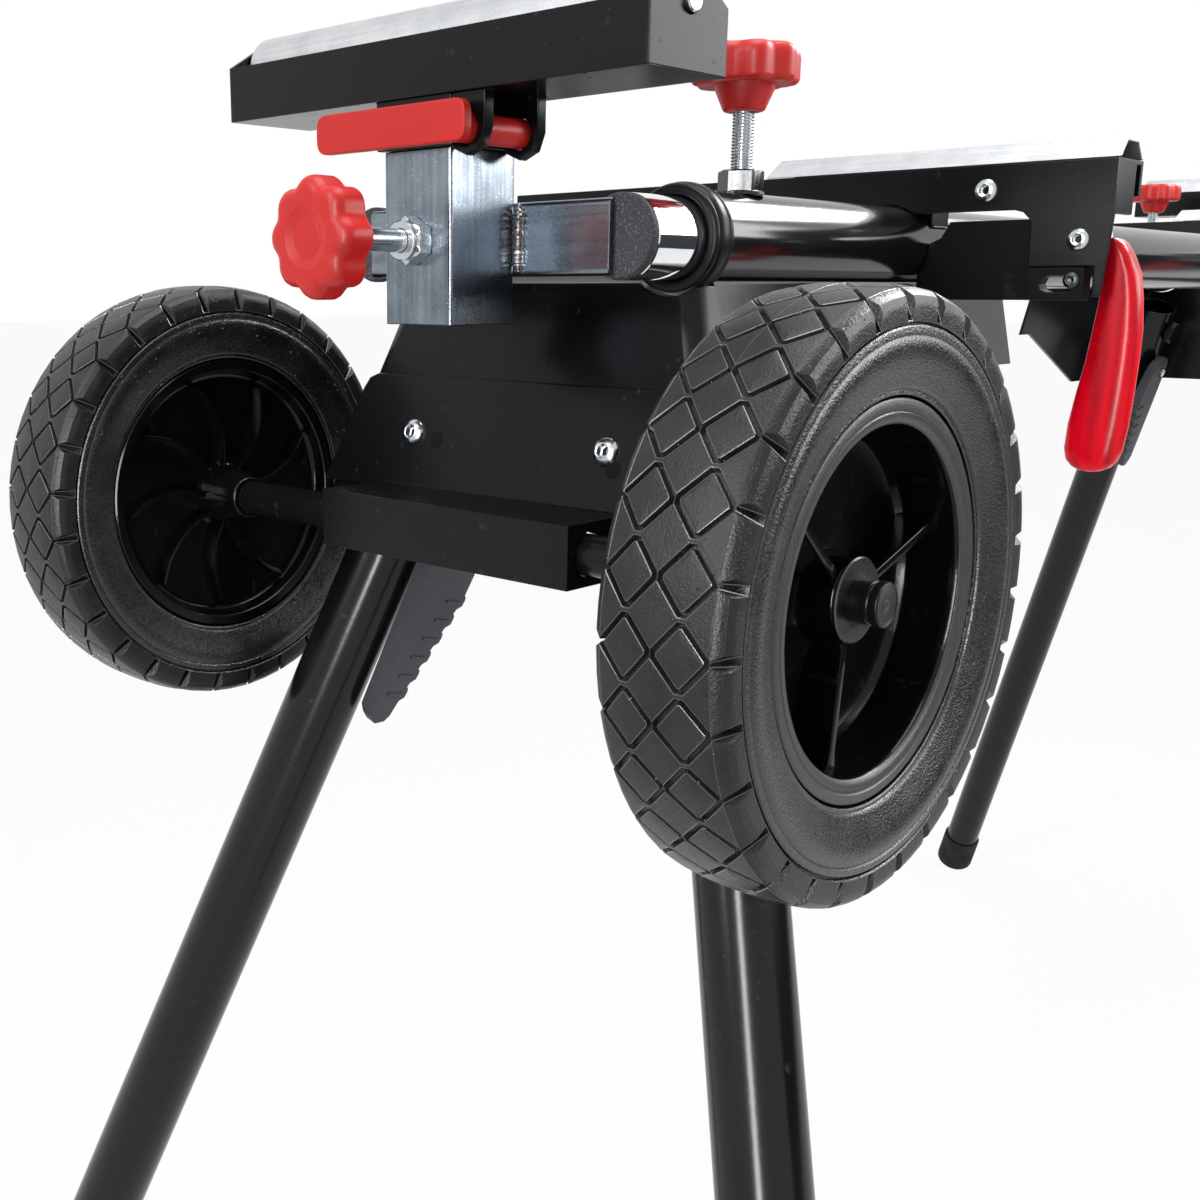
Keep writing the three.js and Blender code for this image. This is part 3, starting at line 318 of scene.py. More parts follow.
@dataclass(frozen=True)
class Finish:
    """A finish of a real material; subclasses paint it."""

    name: str

    def paint(self, graph: Graph) -> bpy.types.Material:
        """Fills the graph.

        Args:
            graph: An empty graph.

        Returns:
            The finished material.
        """
        raise NotImplementedError

    def material(self) -> bpy.types.Material:
        """The material, made once and then shared."""
        if self.name not in MATERIALS:
            MATERIALS[self.name] = self.paint(Graph(bpy.data.materials.new(self.name)))
        return MATERIALS[self.name]


@dataclass(frozen=True)
class GlossPaint(Finish):
    """Baked gloss paint on steel: faint orange peel, cloudy gloss, a little dust and rubbed spots."""

    colour: Colour = (0.0042, 0.0044, 0.0052)
    rough: float = 0.2
    peel: float = 0.03
    dust: float = 0.3
    shine: float = 0.17

    def paint(self, graph: Graph) -> bpy.types.Material:
        """Paints the coat.

        Args:
            graph: An empty graph.

        Returns:
            The finished material.
        """
        cloud = graph.noise(60.0, 3.0)
        specks = graph.cells(5.5).between(0.09, 0.04) * graph.noise(24.0).between(0.5, 0.62)
        rubbed = graph.noise(7.0, 6.0).between(0.66, 0.74)
        tone = graph.mix(self.colour, tuple(c * 1.7 for c in self.colour), cloud)
        worn = graph.mix(tone, (0.03, 0.031, 0.034), rubbed * 0.5)
        base = graph.mix(worn, (0.11, 0.11, 0.115), specks * self.dust)
        peel = graph.bump(graph.noise(2.6, 1.0), self.peel)
        fine = graph.bump(graph.noise(0.5, 1.0), self.peel * 0.12, peel)
        rough = self.rough + cloud * 0.07 + rubbed * 0.12 + specks * 0.3
        return graph.finish(
            {"Base Color": base, "Roughness": rough, "Normal": fine,
             "Specular IOR Level": self.shine}
        )


@dataclass(frozen=True)
class Galvanised(Finish):
    """Zinc-coated steel: drawn streaks along Z, fine speckle and bright flecks."""

    bright: Colour = (0.27, 0.305, 0.345)
    dull: Colour = (0.12, 0.143, 0.168)
    rough: float = 0.12
    streaks: Point3 = (1.0, 1.0, 0.035)

    def paint(self, graph: Graph) -> bpy.types.Material:
        """Paints the zinc.

        Args:
            graph: An empty graph.

        Returns:
            The finished material.
        """
        drawn = graph.noise(2.2, 4.0, graph.stretched(self.streaks))
        cloud = graph.noise(16.0, 4.0)
        speckle = graph.noise(0.75, 3.0)
        flecks = graph.cells(2.3).between(0.13, 0.05)
        pits = graph.cells(4.1).between(0.12, 0.05)
        tone = (drawn * 0.45 + cloud * 0.55).between(0.3, 0.72)
        base = graph.mix(self.dull, self.bright, tone)
        speckled = graph.mix(base, (0.10, 0.12, 0.15), speckle.between(0.56, 0.8) * 0.55)
        flecked = graph.mix(speckled, (0.82, 0.86, 0.9), flecks * 0.55)
        relief = graph.bump(drawn, 0.05)
        fine = graph.bump(speckle - pits * 0.6, 0.022, relief)
        rough = self.rough + speckle * 0.16 + (1.0 - tone) * 0.08
        return graph.finish(
            {"Base Color": flecked, "Roughness": rough, "Metallic": 1.0 - pits * 0.3, "Normal": fine}
        )


@dataclass(frozen=True)
class BrightPlate(Finish):
    """Smooth plating, zinc on hardware or chrome on tubes, with faint drawing lines."""

    colour: Colour = (0.72, 0.76, 0.79)
    rough: float = 0.22
    relief: float = 0.012
    stain: float = 0.35

    def paint(self, graph: Graph) -> bpy.types.Material:
        """Paints the plating.

        Args:
            graph: An empty graph.

        Returns:
            The finished material.
        """
        cloud = graph.noise(6.0, 4.0)
        fine = graph.noise(0.6, 2.0)
        dark = tuple(c * 0.55 for c in self.colour)
        base = graph.mix(self.colour, dark, cloud.between(0.48, 0.75) * self.stain)
        rough = self.rough * (0.75 + cloud * 0.5)
        return graph.finish(
            {
                "Base Color": base,
                "Metallic": 1.0 - cloud.between(0.7, 0.85) * 0.2,
                "Roughness": rough,
                "Normal": graph.bump(fine, self.relief),
            }
        )


@dataclass(frozen=True)
class Rubber(Finish):
    """Moulded tyre rubber: dark faces, greyed skin, fine grain and scattered pits."""

    dark: Colour = (0.006, 0.006, 0.0068)
    grey: Colour = (0.016, 0.016, 0.0175)
    rough: float = 0.36
    shine: float = 0.17
    relief: float = 0.2

    def paint(self, graph: Graph) -> bpy.types.Material:
        """Paints the rubber.

        Args:
            graph: An empty graph.

        Returns:
            The finished material.
        """
        skin = graph.noise(14.0, 5.0)
        grain = graph.noise(0.75, 3.0)
        pits = graph.cells(2.9).between(0.17, 0.08) * graph.noise(9.0).between(0.45, 0.6)
        base = graph.mix(self.dark, self.grey, skin.between(0.3, 0.75))
        pitted = graph.mix(base, (0.004, 0.004, 0.004), pits * 0.8)
        dusty = graph.mix(pitted, (0.075, 0.073, 0.07), grain.between(0.62, 0.78) * 0.3)
        relief = graph.bump(grain, self.relief)
        deep = graph.bump(1.0 - pits, 0.25, relief)
        rough = self.rough + grain * 0.18 + skin * 0.1
        return graph.finish(
            {"Base Color": dusty, "Roughness": rough, "Normal": deep,
             "Specular IOR Level": self.shine}
        )


@dataclass(frozen=True)
class Moulded(Finish):
    """Moulded plastic in one colour: flow marks, a moulded grain, faint scuffs and, where asked for, dark
    streaks along Z that are painted shade.
    """

    colour: Colour = (0.01, 0.01, 0.011)
    rough: float = 0.3
    grain: float = 1.2
    relief: float = 0.03
    scuff: float = 0.25
    shine: float = 0.15
    fleck: float = 0.0
    # Share of dark streaks along Z in the colour: painted shade for the shading of a rounded moulding.
    painted_shade_streaks: float = 0.0

    def paint(self, graph: Graph) -> bpy.types.Material:
        """Paints the plastic.

        Args:
            graph: An empty graph.

        Returns:
            The finished material.
        """
        flow = graph.noise(22.0, 2.0)
        grain = graph.noise(self.grain, 3.0)
        scuffs = graph.noise(5.0, 7.0, graph.stretched((1.0, 0.25, 0.4))).between(0.64, 0.72)
        light = tuple(min(1.0, c * 1.25 + 0.0015) for c in self.colour)
        pale = tuple(min(1.0, c * 1.2 + 0.05) for c in self.colour)
        base = graph.mix(self.colour, light, flow)
        # Painted shade: dark streaks along Z copy the shading across a rounded grip's faces.
        if self.painted_shade_streaks:
            painted_shade_bands = graph.noise(7.0, 1.0, graph.stretched((1.0, 1.0, 0.06))).between(0.4, 0.62)
            base = graph.mix(base, tuple(c * 0.3 for c in self.colour), painted_shade_bands * self.painted_shade_streaks)
        scuffed = graph.mix(base, pale, scuffs * self.scuff)
        grained = graph.mix(scuffed, light, grain.between(0.5, 0.8) * 0.5)
        bright = tuple(c * 3.5 + 0.02 for c in self.colour)
        flecked = graph.mix(grained, bright, grain.between(0.54, 0.68) * self.fleck)
        rough = self.rough + grain * 0.1 + scuffs * 0.15
        return graph.finish(
            {
                "Base Color": flecked,
                "Roughness": rough,
                "Normal": graph.bump(grain, self.relief),
                "Specular IOR Level": self.shine,
            }
        )


BLACK_PAINT = GlossPaint("black_gloss_paint")
TUBE_PAINT = GlossPaint("black_tube_paint", rough=0.1, peel=0.012, shine=0.5)
LEG_PAINT = GlossPaint("black_leg_paint", rough=0.16, peel=0.02, shine=0.28)
ZINC_UP = Galvanised("galvanised_upright")
ZINC_ACROSS = Galvanised("galvanised_across", streaks=(1.0, 0.035, 1.0))
# Pale zinc of the rollers and seat strips; on the seat strip along the beam's top, the pale colour is partly
# a painted reflection of a lamp.
PALE_ZINC_AND_PAINTED_SHEEN = Galvanised(
    "galvanised_pale_and_painted_sheen", bright=(0.6, 0.61, 0.62), dull=(0.42, 0.43, 0.45), rough=0.34,
    streaks=(1.0, 0.05, 1.0),
)
HARDWARE = BrightPlate("zinc_hardware", colour=(0.55, 0.58, 0.6))
DULL_STEEL = BrightPlate("dull_steel", colour=(0.07, 0.068, 0.066), rough=0.42, relief=0.05, stain=0.7)
DARK_STEEL = BrightPlate("dark_steel", colour=(0.07, 0.07, 0.075), rough=0.34, relief=0.05, stain=0.7)
# Near-black discs painted as the shade inside holes of the axle bracket.
PAINTED_HOLE_SHADE = Moulded("painted_hole_shade", colour=(0.0015, 0.0015, 0.0018), rough=0.8, scuff=0.0)
CHROME = BrightPlate("chrome_plate", colour=(0.83, 0.85, 0.87), rough=0.06, relief=0.003, stain=0.12)
WELD_METAL = BrightPlate("weld_metal", colour=(0.42, 0.4, 0.4), rough=0.26, relief=0.12, stain=0.9)
TYRE = Rubber("tyre_rubber", dark=(0.006, 0.006, 0.007), grey=(0.017, 0.017, 0.019), rough=0.2, shine=0.34)
# Groove walls and lips: their lighter grey is a painted highlight along the groove edges.
TREAD_EDGE_PAINTED_HIGHLIGHT = Rubber(
    "tyre_groove_edges_painted_highlight", dark=(0.02, 0.02, 0.022), grey=(0.045, 0.045, 0.049), rough=0.1, shine=1.0,
    relief=0.04,
)
SIDE_WALL = Rubber(
    "tyre_side_walls", dark=(0.004, 0.004, 0.0048), grey=(0.015, 0.0145, 0.0167), rough=0.12, shine=0.7,
    relief=0.2,
)
FOOT_RUBBER = Rubber("foot_rubber", dark=(0.012, 0.012, 0.013), grey=(0.025, 0.025, 0.027), rough=0.55)
WHEEL_PLASTIC = Moulded(
    "wheel_plastic", colour=(0.0025, 0.0025, 0.003), rough=0.11, grain=1.6, scuff=0.06, shine=0.2
)
LIP_PLASTIC = Moulded(
    "lip_plastic", colour=(0.024, 0.0225, 0.0235), rough=0.34, grain=0.9, relief=0.14, shine=0.6, fleck=0.3
)
COLLAR_PLASTIC = Moulded("collar_plastic", colour=(0.009, 0.0085, 0.01), rough=0.28, grain=1.0)
CAP_PLASTIC = Moulded(
    "cap_plastic", colour=(0.055, 0.053, 0.06), rough=0.6, grain=0.9, relief=0.25, scuff=0.1,
    fleck=0.8,
)
LATCH_PLASTIC = Moulded(
    "latch_plastic", colour=(0.058, 0.058, 0.067), rough=0.45, grain=0.9, relief=0.08
)
JAW_PLASTIC = Moulded("jaw_plastic", colour=(0.005, 0.005, 0.006), rough=0.45, shine=0.08)
KNOB_PLASTIC = Moulded(
    "knob_plastic", colour=(0.53, 0.014, 0.011), rough=0.34, grain=1.3, relief=0.025, scuff=0.1,
    shine=0.35,
)
# The grip's dark streaks along its length are painted shade of its rounded faces.
GRIP_PLASTIC = Moulded(
    "grip_plastic", colour=(0.86, 0.0, 0.014), rough=0.2, grain=2.2, relief=0.02, scuff=0.0,
    shine=0.22, painted_shade_streaks=0.6,
)


# ---------------------------------------------------------------- shape tools


def shift(x: float = 0.0, y: float = 0.0, z: float = 0.0) -> Matrix:
    """Matrix of a shift in millimetres."""
    return Matrix.Translation((x, y, z))


def spin(degrees: float, axis: str) -> Matrix:
    """Matrix of a turn about an axis through the origin."""
    return Matrix.Rotation(math.radians(degrees), 4, axis)


STRAIGHT = Matrix.Identity(4)
ALONG_X = Matrix(((0, 0, 1, 0), (1, 0, 0, 0), (0, 1, 0, 0), (0, 0, 0, 1)))
ALONG_Y = Matrix(((0, 1, 0, 0), (0, 0, 1, 0), (1, 0, 0, 0), (0, 0, 0, 1)))
FACING_Y = Matrix(((1, 0, 0, 0), (0, 0, -1, 0), (0, 1, 0, 0), (0, 0, 0, 1)))


def arc(centre: Point2, radius: float, start: float, end: float, steps: int) -> list[Point2]:
    """Points of a circular arc.

    Args:
        centre: Its centre.
        radius: Its radius.
        start: First angle in degrees.
        end: Last angle in degrees.
        steps: Number of chords.

    Returns:
        The points, both ends among them.
    """
    angles = [math.radians(start + (end - start) * i / steps) for i in range(steps + 1)]
    return [(centre[0] + radius * math.cos(a), centre[1] + radius * math.sin(a)) for a in angles]


def circle(radius: float, sides: int, centre: Point2 = (0.0, 0.0)) -> list[Point2]:
    """Corners of a regular polygon, anticlockwise."""
    return arc(centre, radius, 0, 360, sides)[:-1]


def polar(reaches: Sequence[float], height: float) -> list[Point3]:
    """Closed ring of points at even angles about Z.

    Args:
        reaches: Distance of each point from the axis.
        height: Their height.

    Returns:
        The points, anticlockwise.
    """
    angles = [2 * math.pi * k / len(reaches) for k in range(len(reaches))]
    return [(reach * math.cos(a), reach * math.sin(a), height) for reach, a in zip(reaches, angles)]


def hexagon(corners: float) -> list[float]:
    """Reach of a hexagon at even angles.

    Args:
        corners: Distance of its corners from its middle.

    Returns:
        NUT_SIDES distances from its middle.
    """
    flats = corners * math.cos(math.pi / 6)
    turns = [(2 * math.pi * k / NUT_SIDES) % (math.pi / 3) for k in range(NUT_SIDES)]
    return [flats / math.cos(turn - math.pi / 6) for turn in turns]


def diamond(long: float, wide: float, flat: float) -> list[Point2]:
    """Corners of a diamond whose four tips are cut off, clockwise.

    Args:
        long: Half its length.
        wide: Half its width.
        flat: Half the length of each cut.

    Returns:
        Its eight corners.
    """
    return [
        (long, flat), (long, -flat), (flat, -wide), (-flat, -wide),
        (-long, -flat), (-long, flat), (-flat, wide), (flat, wide),
    ]


def rounded(corners: Sequence[Point2], radius: float, steps: int = 4) -> list[Point2]:
    """Rounds the corners of a polygon.

    Args:
        corners: Its corners in order.
        radius: Radius of the rounding, made smaller where sides are short.
        steps: Chords of each rounding.

    Returns:
        The rounded outline.
    """
    made: list[Point2] = []
    count, straight, share = len(corners), math.radians(172), 0.45
    for i, (x, y) in enumerate(corners):
        here = Vector((x, y))
        back = Vector(corners[i - 1]) - here
        ahead = Vector(corners[(i + 1) % count]) - here
        angle = back.angle(ahead)
        reach = min(radius / math.tan(angle / 2), back.length * share, ahead.length * share)
        if angle > straight:
            made.append((x, y))
            continue
        start, end = here + back.normalized() * reach, here + ahead.normalized() * reach
        for k in range(steps + 1):
            t = k / steps
            point = start * (1 - t) ** 2 + here * 2 * t * (1 - t) + end * t * t
            made.append((point.x, point.y))
    return made


def signed_area(outline: Sequence[Point2]) -> float:
    """Area inside an outline, positive when it runs anticlockwise."""
    pairs = zip(outline, [*outline[1:], outline[0]])
    return sum(a[0] * b[1] - b[0] * a[1] for a, b in pairs) / 2


def inset(outline: Sequence[Point2], width: float) -> list[Point2]:
    """Moves an anticlockwise outline inwards, or outwards where the width is negative.

    Args:
        outline: The outline.
        width: How far each side moves.

    Returns:
        The moved outline.
    """
    made: list[Point2] = []
    count = len(outline)
    for i in range(count):
        here = Vector(outline[i])
        before = (here - Vector(outline[i - 1])).normalized()
        after = (Vector(outline[(i + 1) % count]) - here).normalized()
        normals = Vector((-before.y, before.x)), Vector((-after.y, after.x))
        half = normals[0] + normals[1]
        scale = 2 * width / max(half.length_squared, 0.5)
        made.append((here.x + half.x * scale, here.y + half.y * scale))
    return made


@dataclass
class Form:
    """The shape of one piece in millimetres, gathered solid by solid."""

    points: list[Vector] = field(default_factory=list)
    faces: list[tuple[int, ...]] = field(default_factory=list)
    coats: list[int] = field(default_factory=list)

    def add(
        self,
        points: Sequence[Sequence[float]],
        faces: Sequence[Sequence[int]],
        place: Matrix = STRAIGHT,
        coat: int = 0,
    ) -> "Form":
        """Adds points and faces.

        Args:
            points: Corners in a place of their own.
            faces: Corner numbers of each face.
            place: Where that place lies in the sub-assembly.
            coat: Number of the faces' finish.

        Returns:
            This form.
        """
        start = len(self.points)
        self.points += [place @ Vector(p) for p in points]
        self.faces += [tuple(start + i for i in face) for face in faces]
        self.coats += [coat] * len(faces)
        return self

    def loft(
        self,
        rings: Sequence[Sequence[Sequence[float]]],
        place: Matrix = STRAIGHT,
        coat: int = 0,
        ends: bool = True,
        loop: bool = False,
    ) -> "Form":
        """Skins a row of closed rings that have the same number of points.

        Args:
            rings: The rings in order.
            place: Where their place lies.
            coat: Number of their finish.
            ends: Whether the first and last ring are closed by a face.
            loop: Whether the last ring joins the first.

        Returns:
            This form.
        """
        size = len(rings[0])
        points = [p for ring in rings for p in ring]
        faces: list[tuple[int, ...]] = []
        rows = len(rings) if loop else len(rings) - 1
        for row in range(rows):
            low, high = row * size, ((row + 1) % len(rings)) * size
            for i in range(size):
                j = (i + 1) % size
                faces.append((low + i, low + j, high + j, high + i))
        if ends and not loop:
            faces.append(tuple(range(size - 1, -1, -1)))
            last = (len(rings) - 1) * size
            faces.append(tuple(range(last, last + size)))
        return self.add(points, faces, place, coat)

    def turn(
        self,
        profile: Sequence[Point2],
        place: Matrix = STRAIGHT,
        coat: int = 0,
        sides: int = 48,
        loop: bool = False,
    ) -> "Form":
        """Adds a body turned about Z.

        Args:
            profile: (radius, height) points; a radius of 0 closes the body on its axis.
            place: Where its place lies.
            coat: Number of its finish.
            sides: Number of its sides.
            loop: Whether the profile is closed, as on a ring.

        Returns:
            This form.
        """
        points: list[Point3] = []
        rows: list[list[int]] = []
        for radius, height in profile:
            if radius < 1e-6:
                rows.append([len(points)] * sides)
                points.append((0.0, 0.0, height))
            else:
                rows.append(list(range(len(points), len(points) + sides)))
                points += polar([radius] * sides, height)
        faces: list[tuple[int, ...]] = []
        for low, high in zip(rows, [*rows[1:], rows[0]] if loop else rows[1:]):
            for i in range(sides):
                j = (i + 1) % sides
                corners = dict.fromkeys((low[i], low[j], high[j], high[i]))
                if len(corners) > 2:
                    faces.append(tuple(corners))
        return self.add(points, faces, place, coat)

    def plate(
        self,
        outline: Sequence[Point2],
        low: float,
        high: float,
        place: Matrix = STRAIGHT,
        coat: int = 0,
        edge: float = 0.4,
        holes: Sequence[Sequence[Point2]] = (),
    ) -> "Form":
        """Adds a flat plate with rounded edges.

        Args:
            outline: Its outline.
            low: Height of its lower face.
            high: Height of its upper face.
            place: Where its place lies.
            coat: Number of its finish.
            edge: Radius of its edges.
            holes: Outlines of holes through it.

        Returns:
            This form.
        """
        loops = [list(outline), *[list(hole) for hole in holes]]
        turned = [points if signed_area(points) > 0 else points[::-1] for points in loops]
        steps = [(1.0, 0.0), (0.3, 0.3), (0.0, 1.0)] if edge > 0 else [(0.0, 0.0)]
        levels = [(share, low + depth * edge) for share, depth in steps]
        levels += [(share, high - depth * edge) for share, depth in steps[::-1]]
        caps: list[list[Vector]] = [[], []]
        for number, points in enumerate(turned):
            sign = 1 if number == 0 else -1
            rings = [
                [(x, y, z) for x, y in inset(points, sign * share * edge)] for share, z in levels
            ]
            order = rings if number == 0 else rings[::-1]
            self.loft(order, place, coat, ends=False)
            caps[0].append([Vector(p) for p in rings[0]])
            caps[1].append([Vector(p) for p in rings[-1]])
        for end, side in enumerate(caps):
            flat = [p for ring in side for p in ring]
            faces = []
            for a, b, c in tessellate_polygon(side):
                area = (flat[b] - flat[a]).cross(flat[c] - flat[a]).z
                up = area > 0
                faces.append((a, b, c) if up == (end == 1) else (c, b, a))
            self.add(flat, faces, place, coat)
        return self

    def merge(self, other: "Form", place: Matrix = STRAIGHT) -> "Form":
        """Adds another form, with its finishes.

        Args:
            other: The other form.
            place: Where its place lies.

        Returns:
            This form.
        """
        start = len(self.points)
        self.points += [place @ p for p in other.points]
        self.faces += [tuple(start + i for i in face) for face in other.faces]
        self.coats += other.coats
        return self

    def coated(self, coat: int) -> "Form":
        """Gives all faces one finish."""
        self.coats = [coat] * len(self.faces)
        return self

    def rod(
        self, radius: float, low: float, high: float, place: Matrix = STRAIGHT,
        coat: int = 0, edge: float = 0.4, sides: int = 32,
    ) -> "Form":
        """Adds a solid round bar along Z with rounded ends.

        Args:
            radius: Its radius.
            low: Height of its lower end.
            high: Height of its upper end.
            place: Where its place lies.
            coat: Number of its finish.
            edge: Radius of its softened edges.
            sides: Number of its sides.

        Returns:
            This form.
        """
        profile = [
            (0, low), (radius - edge, low), (radius - edge * 0.3, low + edge * 0.3),
            (radius, low + edge), (radius, high - edge), (radius - edge * 0.3, high - edge * 0.3),
            (radius - edge, high), (0, high),
        ]
        return self.turn(profile, place, coat, sides)

    def pipe(
        self, radius: float, wall: float, low: float, high: float, place: Matrix = STRAIGHT,
        coat: int = 0, sides: int = 64,
    ) -> "Form":
        """Adds a round tube along Z, open at both ends, with softened rims.

        Args:
            radius: Its outer radius.
            wall: Thickness of its wall.
            low: Height of its lower end.
            high: Height of its upper end.
            place: Where its place lies.
            coat: Number of its finish.
            sides: Number of its sides.

        Returns:
            This form.
        """
        bore, edge = radius - wall, 0.35
        profile = [
            (bore, low + edge), (bore, high - edge), (bore + edge, high), (radius - edge, high),
            (radius, high - edge), (radius, low + edge), (radius - edge, low), (bore + edge, low),
        ]
        return self.turn(profile, place, coat, sides, loop=True)

    def nut(
        self, corners: float, low: float, high: float, bore: float,
        place: Matrix = STRAIGHT, coat: int = 0,
    ) -> "Form":
        """Adds a hexagon nut along Z with chamfered corners and a bore.

        Args:
            corners: Distance of its corners from its middle.
            low: Height of its lower face.
            high: Height of its upper face.
            bore: Radius of its bore.
            place: Where its place lies.
            coat: Number of its finish.

        Returns:
            This form.
        """
        shape, flats = hexagon(corners), corners * math.cos(math.pi / 6)
        chamfer, face_r = (corners - flats) * 0.62, flats * 0.96
        levels = (
            (low, face_r), (low + chamfer, corners), (high - chamfer, corners), (high, face_r),
        )
        rings = [polar([min(reach, limit) for reach in shape], height) for height, limit in levels]
        rings += [polar([bore] * NUT_SIDES, height) for height in (high, low)]
        return self.loft(rings, place, coat, loop=True)

    def button_bolt(self, radius: float, place: Matrix = STRAIGHT, coat: int = 0) -> "Form":
        """Adds a domed bolt head with a hexagon socket, its seat at Z = 0.

        Args:
            radius: Radius of the head.
            place: Where its place lies.
            coat: Number of its finish.

        Returns:
            This form.
        """
        rise, socket = radius * 0.55, radius * 0.46
        angles = [math.radians(degrees) for degrees in (0, 14, 28, 42, 54, 62)]
        dome = [(radius * math.cos(a), rise * math.sin(a)) for a in angles]
        self.turn([(radius, -0.6), *dome, (socket + 0.2, rise * 0.9)], place, coat, NUT_SIDES)
        key = hexagon(socket)
        rim = polar([socket / 0.95 + 0.2] * NUT_SIDES, rise * 0.9)
        floor = polar([0.02] * NUT_SIDES, -0.3)
        return self.loft([rim, polar(key, rise * 0.86), polar(key, 0.1), floor], place, coat, ends=False)


def in_scene(name: str, data: bpy.types.ID) -> bpy.types.Object:
    """A new object of a mesh, lamp or camera, linked to the scene.

    Args:
        name: Its name.
        data: Its mesh, lamp or camera.

    Returns:
        The object.
    """
    made = bpy.data.objects.new(name, data)
    bpy.context.scene.collection.objects.link(made)
    return made


@dataclass
class Workshop:
    """Makes objects from forms and hangs them on the frame's bodies."""

    bodies: dict[str, str] = field(default_factory=dict)
    slots: dict[str, str] = field(default_factory=dict)
    # Points closer than this many metres are merged, in a form and in a CAD node.
    merged: float = 2e-6
    cad_merged: float = 5e-6
    # Angles in degrees: below the first a CAD edge is dissolved, above the second it is rounded.
    level: float = 0.6
    keen: float = 48.0

    def __post_init__(self) -> None:
        """Reads the body and the material slot of every node from the record."""
        record = frame["record"]
        self.bodies = {n: b for b, nodes in record["behaviour"]["bodies"].items() for n in nodes}
        self.slots = {part["node"]: part["material_slot"] for part in record["subparts"]}

    def make(
        self, name: str, form: Form, finishes: Sequence[Finish], sharp: float = SHARP
    ) -> bpy.types.Object:
        """Makes an object.

        Args:
            name: Its name.
            form: Its shape, placed in the stand in millimetres.
            finishes: Its finishes, in the order of the form's coats.
            sharp: Angle in degrees above which an edge stays sharp.

        Returns:
            The object, linked to the scene.
        """
        mesh = bpy.data.meshes.new(name)
        mesh.from_pydata([p / METRE for p in form.points], [], form.faces)
        for finish in finishes:
            mesh.materials.append(finish.material())
        mesh.polygons.foreach_set("material_index", form.coats)
        solid = bmesh.new()
        solid.from_mesh(mesh)
        bmesh.ops.remove_doubles(solid, verts=solid.verts, dist=self.merged)
        bmesh.ops.recalc_face_normals(solid, faces=solid.faces)
        solid.to_mesh(mesh)
        solid.free()
        mesh.shade_smooth()
        mesh.set_sharp_from_angle(angle=math.radians(sharp))
        made = in_scene(name, mesh)
        even = made.modifiers.new("even_shading", "WEIGHTED_NORMAL")
        even.keep_sharp = True
        even.weight = 80
        return made

    def stand_for(
        self, node: str, form: Form, finishes: Sequence[Finish], sharp: float = SHARP
    ) -> bpy.types.Object:
        """Makes the piece that stands for a CAD node and rides on its body.

        Args:
            node: Name of the node.
            form: The piece's shape, placed in the stand.
            finishes: Its finishes, in the order of the form's coats.
            sharp: Angle in degrees above which an edge stays sharp.

        Returns:
            The piece.
        """
        made = self.make(node + ".look", form, finishes, sharp)
        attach(made, self.bodies[node])
        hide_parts(node)
        log.info("%s stands for %s, %d faces", made.name, node, len(made.data.polygons))
        return made

    def trim(
        self, name: str, node: str, form: Form, finishes: Sequence[Finish]
    ) -> bpy.types.Object:
        """Makes a piece of trim that rides with a node's body.

        Args:
            name: Its name.
            node: Name of the node it sits on.
            form: Its shape, placed in the stand.
            finishes: Its finishes, in the order of the form's coats.

        Returns:
            The piece.
        """
        made = self.make(name, form, finishes)
        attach(made, self.bodies[node])
        log.info("%s rides with %s", made.name, node)
        return made

    def eased(self, node: str, edge: float = 0.5) -> Form:
        """The shape of a CAD node with its sharp edges rounded.

        Args:
            node: Name of the node.
            edge: Radius of the rounding in millimetres.

        Returns:
            Its shape in the stand's place.
        """
        level, keen = math.radians(self.level), math.radians(self.keen)
        solid = bmesh.new()
        solid.from_mesh(frame["nodes"][node].data)
        bmesh.ops.remove_doubles(solid, verts=solid.verts, dist=self.cad_merged)
        bmesh.ops.dissolve_limit(solid, angle_limit=level, verts=solid.verts, edges=solid.edges)
        edges = [e for e in solid.edges if len(e.link_faces) == 2 and e.calc_face_angle(0) > keen]
        bmesh.ops.bevel(
            solid, geom=edges, offset=edge / METRE, offset_type="OFFSET", segments=2, profile=0.6,
            affect="EDGES", clamp_overlap=False, loop_slide=True, material=-1,
        )
        bmesh.ops.triangulate(solid, faces=[f for f in solid.faces if len(f.verts) > 4])
        points = [v.co * METRE for v in solid.verts]
        faces = [tuple(v.index for v in f.verts) for f in solid.faces]
        solid.free()
        return Form().add(points, faces)


# ---------------------------------------------------------------- wheels


